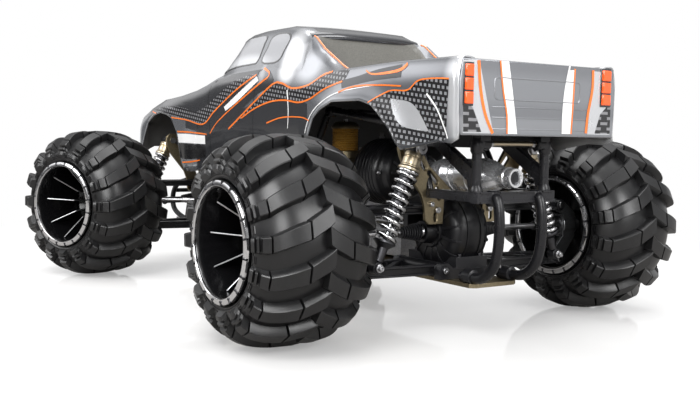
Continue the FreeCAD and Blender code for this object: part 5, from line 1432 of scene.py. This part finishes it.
def cage():
    """Bent tube cage from the chassis sides over the engine to the rear posts."""
    build = Build()
    for side in (1, -1):
        main = [(48.5, -4, 55), (52, 50, 120), (56, 108, 204), (57, 122, 215), (53, 150, 213), (45, 215, 203),
                (43, 236, 200),
                (43.5, 262, 176), (44, 276, 150), (44, 280, 138)]
        tube(build, [(side * x, y, z) for x, y, z in main], 4.0, 18, smooth_points=7)
        tube(build, [(side * 43, 236, 196), (side * 36, 290, 212), (side * 30, 343, 222)], 3.2, 16,
             smooth_points=6)
        for x, y, z in ((57, 122, 215), (43, 236, 200)):
            turned(build, (side * x - side * 5, y, z), (side, 0, 0), [(0, 5.4), (0.7, 6), (9.3, 6), (10, 5.4)],
                   20)
            cap_screw(build, (side * x + side * 4.8, y, z), (side, 0, 0), 2.2, slot=1)
        turned(build, (side * 48.5, -4, 51.2), (0, 0, 1), [(0, 8.5), (2, 8.5), (2.6, 7.9), (2.6, 4)], 24)
    for y, x, z in ((122, 57, 215), (236, 43, 196)):
        tube(build, [(-x, y, z), (x, y, z)], 3.4, 16)
    piece = build.object("tube_cage", [POWDER, DARK_STEEL], smooth=45)
    finish_piece(piece, "chassis", "black_steel", "roll_cage")


def front_end():
    """Front bumper: bent hoops, a skid plate and a bar."""
    build = Build()
    for side in (1, -1):
        tube(build, [(side * 22, -300, 58), (side * 26, -340, 60), (side * 30, -366, 72), (side * 30, -372, 92),
                     (side * 28, -360, 110), (side * 26, -330, 118)], 3.8, 18, smooth_points=8)
    tube(build, [(-52, -352, 84), (-44, -368, 84), (-24, -377, 84), (24, -377, 84), (44, -368, 84),
                 (52, -352, 84)], 4.2, 18,
         smooth_points=7)
    tube(build, [(-30, -372, 100), (30, -372, 100)], 3.2, 16)
    prism(build, [(-26, -318), (26, -318), (30, -345), (24, -372), (-24, -372), (-30, -345)], 55.4, 58.6,
          axis="z",
          place=Matrix.Translation((0, 0, 0)))
    for x in (-14, 0, 14):
        block(build, (x - 1, -368, 53.6), (x + 1, -322, 55.6))
    piece = build.object("front_hoops", [POWDER], smooth=45)
    finish_piece(piece, "chassis", "black_steel", "front_bumper")


# ---------------------------------------------------------------- engine bay

def exhaust():
    """Header, tuned chromed can and its cone and stinger facing the rear."""
    build = Build()
    tube(build, [(-54, 100, 152), (-60, 112, 157), (-58, 138, 159), (-44, 168, 162), (-22, 202, 158),
                 (-4, 218, 152),
                 (0, 228, 152)], 5.6, 22, smooth_points=8)
    can = [(224, 6), (230, 7), (240, 13), (248, 15.4), (254, 16.2), (258, 16.2), (259, 16.9), (262, 16.9),
           (263, 16.2),
           (306, 16.6), (307, 17.6), (311, 17.6), (312.4, 17), (320, 16.2), (328, 13), (333, 10.6), (334, 9.8),
           (341, 9.4),
           (342, 10.4), (344, 10.4), (345, 9.4), (352, 9.4), (353, 8.8), (353, 7), (352, 6.2), (336, 6)]
    turned(build, (0, 0, 152), (0, 1, 0), can, 56)
    for y in (272, 296):
        turned(build, (0, y, 152), (0, 1, 0), [(0, 16.2), (0.4, 17.2), (1.8, 17.2), (2.2, 16.2)], 56,
               closed=True)
    # A black nylon disc inside the outlet: painted shade for the dark bore.
    turned(build, (0, 350, 152), (0, 1, 0), [(0, 5.9), (0.4, 0.1)], 32, slot=1)
    piece = build.object("chrome_exhaust", [SILENCER, NYLON], smooth=40)
    finish_piece(piece, "chassis", "chrome", "exhaust_pipe")


def engine():
    """Crankcase, finned cylinder, carburettor, foam filter, and the clutch and gear housing."""
    build = Build()
    block(build, (-51, -7, 52), (-9, 120, 96), slot=0)
    block(build, (-51, 120, 56), (-9, 166, 104), slot=0)
    block(build, (-48, 72, 96), (-11, 126, 113), slot=0)
    for x in (-46, -14):
        for y in (0, 30, 60, 90, 118, 150):
            cap_screw(build, (x, y, 96 if y < 120 else 104), (0, 0, 1), 2.3, slot=3)
    for x0 in (-51.6, -9.4):
        for y in range(0, 116, 9):
            block(build, (x0, y, 56), (x0 + 1.2, y + 2, 92), slot=0)
    for level in range(8):
        z = 115 + 8.2 * level
        shape = []
        for cx, cy, start in ((-15, 117, 0), (-43, 117, 90), (-43, 81, 180), (-15, 81, 270)):
            for k in range(5):
                a = math.radians(start + 22.5 * k)
                shape.append((cx + 5 * math.cos(a), cy + 5 * math.sin(a)))
        prism(build, shape, z, z + 3.2, axis="z", slot=0)
    turned(build, (-29, 99, 112), (0, 0, 1), [(0, 16), (67, 16), (69, 14), (69, 6)], 36, slot=0)
    turned(build, (-29, 99, 180), (0, 0, 1), [(0, 5), (3, 5), (3, 3.4), (9, 3.4), (9, 2.4), (13, 2.4),
                                              (13.6, 1.8)], 6, slot=2)
    block(build, (-15, 5, 52), (29, 53, 92), slot=0)
    turned(build, (7, 5, 96), (0, 1, 0), [(0, 24), (2, 25.5), (46, 25.5), (48, 24)], 48, slot=0)
    for k in range(8):
        a = math.tau * k / 8
        cap_screw(build, (7 + 21 * math.cos(a), 53, 96 + 21 * math.sin(a)), (0, 1, 0), 1.9, slot=3)
    block(build, (4, 80, 131), (30, 110, 162), slot=1)
    turned(build, (20, 95, 130), (0, 0, -1), [(0, 10), (2, 11), (4, 11), (5, 9)], 30, slot=1)
    turned(build, (-11, 95, 147), (1, 0, 0), [(0, 8), (15, 8), (15, 11), (17, 11)], 30, slot=0)
    for y in (84, 106):
        cap_screw(build, (17, y, 162), (0, 0, 1), 1.9, slot=3)
    rod(build, (30, 88, 150), (36, 88, 150), 3.0, slot=2)
    turned(build, (20, 95, 162.5), (0, 0, 1), [(0, 15), (1, 17), (9, 17), (10, 15)], 40, slot=5)
    motor = build.object("two_stroke_engine", [CAST, PLATE_GOLD, STEEL, DARK_STEEL, NYLON, PLATE_GOLD],
                         bevel=0.6, smooth=40)
    finish_piece(motor, "chassis", "engine_alloy", "engine")
    foam = Build()
    ridges = []
    for k in range(13):
        z = 172 + 2.0 * k
        ridges += [(z - 172, 15.0), (z - 171, 14.2)]
    turned(foam, (20, 95, 172), (0, 0, 1), ridges, 48, slot=0)
    turned(foam, (20, 95, 197), (0, 0, 1), [(0, 15.6), (0.6, 16.5), (2, 16.5), (4, 15), (7.4, 12), (8, 10),
                                            (8, 4)], 40, slot=1)
    cap_screw(foam, (20, 95, 204.8), (0, 0, 1), 2.6, slot=2)
    filter_piece = foam.object("air_filter", [FOAM, PLATE_GOLD, STEEL], smooth=40)
    finish_piece(filter_piece, "chassis", "engine_alloy", "engine")


def shroud():
    """Fan housing with a slotted recoil cover."""
    build = Build()
    drum = [(0, 30), (0, 34.5), (1.5, 36), (40, 36), (43, 34.6), (44, 32), (46, 29.6), (54, 28.4), (56, 26),
            (56, 9), (54.5, 8),
            (54.5, 0.1), (40, 0.1), (40, 30)]
    turned(build, (-4, 128, 150), (0, 1, 0), drum, 60, closed=True)
    for k in range(12):
        a = math.tau * k / 12
        place = Matrix.Translation((-4, 0, 150)) @ Matrix.Rotation(a, 4, "Y")
        prism(build, [(11, -1.6), (24, -1.2), (24, 1.2), (11, 1.6)], 183.4, 185.2, axis="y", place=place,
              slot=1)
        if k % 3 == 0:
            at = place @ Vector((32.6, 172, 0))
            cap_screw(build, at, (0, 1, 0), 2.0, slot=2)
    for y in range(134, 170, 6):
        turned(build, (-4, y, 150), (0, 1, 0), [(0, 35), (0.3, 36.8), (1.5, 36.8), (1.8, 35)], 60, closed=True)
    block(build, (-40, 150, 112), (-14, 172, 126))
    piece = build.object("fan_housing", [NYLON, DARK_STEEL, STEEL], bevel=0.4, smooth=40)
    finish_piece(piece, "chassis", "black_nylon", "fan_shroud")


def starter_handle():
    """T-handle and its cord."""
    build = Build()
    turned(build, (-50, 148, 118), (0, 1, 0), [(0, 2), (1, 3.6), (6, 4.2), (13, 3.6), (20, 4.2), (25, 3.6),
                                               (26, 2)], 24)
    turned(build, (-50, 161, 118), (1, 0, 0), [(-3, 3.2), (5, 3.0), (9, 2.4)], 20)
    grip = build.object("starter_grip", NYLON, smooth=45)
    finish_piece(grip, "pull_handle", "black_nylon", "pull_handle")
    cord = Build()
    tube(cord, [(lerp(-46, -38, k / 24), 161, 118) for k in range(25)], 0.9, 10)
    line = cord.object("starter_cord", SILVER_PAINT)
    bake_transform(line)


def tank():
    """Fuel tank with its cap, ribs and fittings."""
    low, high = corners_mm("fuel_tank")
    build = Build()
    shape = []
    for cx, cy, start in ((high.x - 8, -70, 0), (low.x + 8, -70, 90), (low.x + 8, -142, 180),
                          (high.x - 8, -142, 270)):
        for k in range(6):
            a = math.radians(start + 18 * k)
            shape.append((cx + 7.5 * math.cos(a), cy + 7.5 * math.sin(a)))
    prism(build, shape, 53.5, 117, axis="z")
    for z in (66, 84, 102):
        grown = [(30 + (x - 30) * 1.02, -106 + (y + 106) * 1.01) for x, y in shape]
        prism(build, grown, z, z + 2.2, axis="z")
    turned(build, (30, -106, 117), (0, 0, 1), [(0, 12), (6, 12), (6, 14), (7, 14.6), (14, 14.6), (16, 13),
                                               (17, 5), (18.6, 4)], 36, slot=1)
    rod(build, (30, -120, 134.5), (30, -100, 134.5), 1.3, slot=1)
    piece = build.object("ribbed_tank", [TANK, NYLON], bevel=1.4, smooth=45)
    finish_piece(piece, "chassis", "tank_plastic", "fuel_tank")


def radio():
    """Radio tray with the receiver box, the battery and the servo."""
    low, high = corners_mm("radio_tray")
    build = Build()
    block(build, (low.x, low.y, low.z), (high.x, high.y, low.z + 4))
    block(build, (low.x + 2, low.y + 6, low.z + 4), (high.x - 2, low.y + 66, low.z + 34))
    block(build, (low.x + 3, low.y + 74, low.z + 4), (high.x - 3, low.y + 118, high.z - 8), slot=1)
    block(build, (low.x + 5, low.y + 126, low.z + 4), (high.x - 5, high.y - 4, low.z + 30), slot=1)
    for y in (low.y + 12, low.y + 60, low.y + 78, low.y + 114):
        for x in (low.x + 6, high.x - 6):
            top = low.z + 34 if y < low.y + 66 else high.z - 8
            cap_screw(build, (x, y, top), (0, 0, 1), 1.8, slot=2)
    turned(build, ((low.x + high.x) / 2, low.y + 96, high.z - 8), (0, 0, 1), [(0, 5), (5, 5), (5, 3), (7.6, 3)],
           24, slot=2)
    piece = build.object("radio_and_servos", [NYLON, DARK_PAINT, STEEL], bevel=0.8, smooth=40)
    finish_piece(piece, "chassis", "black_nylon", "radio_tray")


def chassis():
    """Folded alloy plate with screws below and ribbed nylon guards along its edges."""
    build = Build()
    outline = [(30, -325), (30, -215), (54, -185), (54, 185), (30, 215), (30, 325), (24, 329)]
    outline = [(24, -329)] + outline
    full = outline + [(-x, y) for x, y in reversed(outline)]
    prism(build, full, 47, 51, axis="z")
    for y in (-300, -240, -170, -120, -60, 0, 60, 120, 170, 240, 300):
        for x in (-19, 19):
            turned(build, (x, y, 47.2), (0, 0, -1), [(0, 3.6), (0.5, 3.6), (0.5, 1.8), (0.1, 1.6)], 16, slot=1)
            cap_screw(build, (x if abs(y) > 200 else x * 2.5, y, 51), (0, 0, 1), 2.2,
                      slot=1) if abs(y) < 190 else None
    piece = build.object("alloy_chassis_plate", [PLATE_GOLD, DARK_STEEL], bevel=0.7, smooth=40)
    finish_piece(piece, "chassis", "chassis_alloy", "chassis_plate")
    guards = Build()
    for side in (1, -1):
        outer = corners_mm("side_guards")[1].x
        prism(guards, [(side * (outer - 8), 47.2), (side * (outer - 2), 47.2), (side * outer, 52),
                       (side * outer, 70),
                       (side * (outer - 3), 77.6), (side * (outer - 7), 77.6), (side * (outer - 6), 68),
                       (side * (outer - 7), 54)],
              -181, 181, axis="y")
        for y in range(-172, 181, 15):
            block(guards, (side * (outer - 0.4) - 0.8, y, 52), (side * (outer - 0.4) + 0.8, y + 3, 70))
    shell = guards.object("ribbed_side_guards", [NYLON], bevel=0.5, smooth=40)
    finish_piece(shell, "chassis", "black_nylon", "side_guards")


PIECES = [lower_arms, upper_arms, half_shafts, rear_carriers, gearboxes, towers, fasteners, rear_frame, cage,
          front_end, exhaust, engine, shroud, starter_handle, tank, radio, chassis]


# ---------------------------------------------------------------- finishes of the CAD nodes that stay in sight

FINISHES = [
    ("lower_arm", NYLON), ("upper_arm", NYLON), ("hub_carrier", CAST), ("steering_knuckle", GREY_ALLOY),
    ("drive_shaft", STEEL), ("shock_towers", PLATE_GOLD), ("chassis_plate", PLATE_GOLD), ("side_guards", NYLON),
    ("front_gearbox", NYLON), ("rear_gearbox", NYLON), ("fasteners", DARK_STEEL), ("engine", CAST),
            ("fan_shroud", NYLON),
    ("exhaust_pipe", CHROME), ("fuel_tank", TANK), ("radio_tray", NYLON), ("roll_cage", POWDER),
    ("rear_bumper", POWDER), ("front_bumper", NYLON), ("centre_drive", STEEL), ("pull_handle", NYLON),
    ("bellcrank", NYLON), ("drag_link", GREY_ALLOY), ("track_rod", STEEL),
]


def finish_cad():
    """Materials of the CAD nodes that stay in view."""
    for name, obj in frame["nodes"].items():
        paint = next((m for start, m in FINISHES if name.startswith(start)), NYLON)
        obj.data.materials.clear()
        obj.data.materials.append(paint)


# ---------------------------------------------------------------- stage

def studio():
    """White floor and background, soft panels, and a sky that is bright above and darker at the horizon."""
    floor_paint = bpy.data.materials.new("floor")
    floor_paint.use_nodes = True
    nodes, links = floor_paint.node_tree.nodes, floor_paint.node_tree.links
    nodes.clear()
    matt = nodes.new("ShaderNodeBsdfDiffuse")
    matt.inputs["Color"].default_value = (0.60, 0.595, 0.59, 1)
    glow = nodes.new("ShaderNodeEmission")
    glow.inputs["Strength"].default_value = 0.44
    base = nodes.new("ShaderNodeAddShader")
    links.new(matt.outputs[0], base.inputs[0])
    links.new(glow.outputs[0], base.inputs[1])
    gloss = nodes.new("ShaderNodeBsdfGlossy")
    gloss.inputs["Roughness"].default_value = 0.05
    both = nodes.new("ShaderNodeMixShader")
    both.inputs[0].default_value = 0.34
    links.new(base.outputs[0], both.inputs[1])
    links.new(gloss.outputs[0], both.inputs[2])
    away = nodes.new("ShaderNodeVectorMath")
    away.operation = "LENGTH"
    spot = nodes.new("ShaderNodeNewGeometry")
    links.new(spot.outputs["Position"], away.inputs[0])
    fade = nodes.new("ShaderNodeMapRange")
    fade.interpolation_type = "SMOOTHSTEP"
    fade.inputs["From Min"].default_value = 0.42
    fade.inputs["From Max"].default_value = 0.95
    links.new(away.outputs["Value"], fade.inputs["Value"])
    blank = nodes.new("ShaderNodeEmission")
    blank.inputs["Strength"].default_value = 1.0
    ground = nodes.new("ShaderNodeMixShader")
    links.new(fade.outputs["Result"], ground.inputs[0])
    links.new(both.outputs[0], ground.inputs[1])
    links.new(blank.outputs[0], ground.inputs[2])
    out = nodes.new("ShaderNodeOutputMaterial")
    dim = nodes.new("ShaderNodeBsdfDiffuse")
    dim.inputs["Color"].default_value = (0.30, 0.29, 0.28, 1)
    seen = nodes.new("ShaderNodeLightPath")
    choose = nodes.new("ShaderNodeMixShader")
    links.new(seen.outputs["Is Camera Ray"], choose.inputs[0])
    links.new(dim.outputs[0], choose.inputs[1])
    links.new(ground.outputs[0], choose.inputs[2])
    links.new(choose.outputs[0], out.inputs["Surface"])
    bpy.ops.mesh.primitive_plane_add(size=14, location=(0, 0, -0.0005))
    floor = bpy.context.object
    floor.name = "floor"
    floor.data.materials.append(floor_paint)

    world = bpy.data.worlds.new("studio")
    bpy.context.scene.world = world
    world.use_nodes = True
    nodes, links = world.node_tree.nodes, world.node_tree.links
    sky = nodes["Background"]
    where = nodes.new("ShaderNodeTexCoord")
    split = nodes.new("ShaderNodeSeparateXYZ")
    links.new(where.outputs["Generated"], split.inputs[0])
    ramp = nodes.new("ShaderNodeValToRGB")
    ramp.color_ramp.elements[0].position = 0.0
    ramp.color_ramp.elements[0].color = (0.80, 0.80, 0.80, 1)
    ramp.color_ramp.elements[1].position = 0.85
    ramp.color_ramp.elements[1].color = (1.15, 1.15, 1.15, 1)
    for at, value in ((0.17, 0.78), (0.24, 0.22), (0.40, 0.30), (0.55, 0.62)):
        step = ramp.color_ramp.elements.new(at)
        step.color = (value, value, value * 1.01, 1)
    links.new(split.outputs["Z"], ramp.inputs[0])
    side = nodes.new("ShaderNodeValToRGB")
    side.color_ramp.elements[0].color = (0.10, 0.10, 0.105, 1)
    side.color_ramp.elements[1].position = 0.9
    side.color_ramp.elements[1].color = (1.1, 1.1, 1.1, 1)
    for at, value in ((0.12, 0.12), (0.26, 1.3), (0.44, 1.5), (0.56, 0.35)):
        step = side.color_ramp.elements.new(at)
        step.color = (value, value, value * 1.01, 1)
    links.new(split.outputs["Z"], side.inputs[0])
    turn = nodes.new("ShaderNodeMapRange")
    turn.interpolation_type = "SMOOTHSTEP"
    turn.inputs["From Min"].default_value = -0.05
    turn.inputs["From Max"].default_value = 0.30
    links.new(split.outputs["X"], turn.inputs["Value"])
    around = nodes.new("ShaderNodeMix")
    around.data_type = "RGBA"
    links.new(turn.outputs["Result"], around.inputs["Factor"])
    links.new(ramp.outputs["Color"], around.inputs["A"])
    links.new(side.outputs["Color"], around.inputs["B"])
    links.new(around.outputs["Result"], sky.inputs["Color"])
    white = nodes.new("ShaderNodeBackground")
    white.inputs["Color"].default_value = (1, 1, 1, 1)
    rays = nodes.new("ShaderNodeLightPath")
    choose = nodes.new("ShaderNodeMixShader")
    links.new(rays.outputs["Is Camera Ray"], choose.inputs[0])
    links.new(sky.outputs[0], choose.inputs[1])
    links.new(white.outputs[0], choose.inputs[2])
    links.new(choose.outputs[0], nodes["World Output"].inputs["Surface"])
    for name, at, aim, size, power in (
        ("key_panel", (1.3, 1.0, 1.9), (0, 0, 0.1), 1.2, 40),
        ("rear_panel", (-0.7, 2.2, 1.1), (0, 0.3, 0.15), 1.0, 26),
        ("side_panel", (2.2, -0.6, 1.0), (0, -0.1, 0.2), 0.9, 22),
        ("top_panel", (0, -0.3, 2.2), (0, 0, 0), 1.8, 26),
        ("eye_panel", (1.0, 1.7, 0.75), (0, 0.2, 0.12), 0.7, 14),
    ):
        light = bpy.data.lights.new(name, "AREA")
        light.size = size
        light.energy = power
        panel = bpy.data.objects.new(name, light)
        panel.location = at
        panel.rotation_euler = (Vector(aim) - Vector(at)).to_track_quat("-Z", "Y").to_euler()
        bpy.context.collection.objects.link(panel)


def camera():
    """The eye, fitted to the wheel centres and the shell's corners."""
    lens = bpy.data.cameras.new("camera")
    lens.sensor_width = 36
    lens.lens = 48.02
    lens.clip_start, lens.clip_end = 0.02, 50
    view = bpy.data.objects.new("camera", lens)
    bpy.context.collection.objects.link(view)
    ahead = Vector((-0.5581, -0.8270, -0.0683)).normalized()
    right = ahead.cross(Vector((0, 0, 1))).normalized()
    up = right.cross(ahead)
    roll = 0.017
    right, up = right * math.cos(roll) + up * math.sin(roll), up * math.cos(roll) - right * math.sin(roll)
    turn = Matrix((right, up, -ahead)).transposed().to_4x4()
    view.matrix_world = Matrix.Translation(Vector((613.92, 986.79, 188.68)) * MM) @ turn
    bpy.context.scene.camera = view
    bpy.context.scene.view_settings.view_transform = "Standard"
    bpy.context.scene.render.resolution_x, bpy.context.scene.render.resolution_y = 700, 400


finish_cad()
wheels()
shocks()
body_shell()
for make in PIECES:
    make()
studio()
camera()
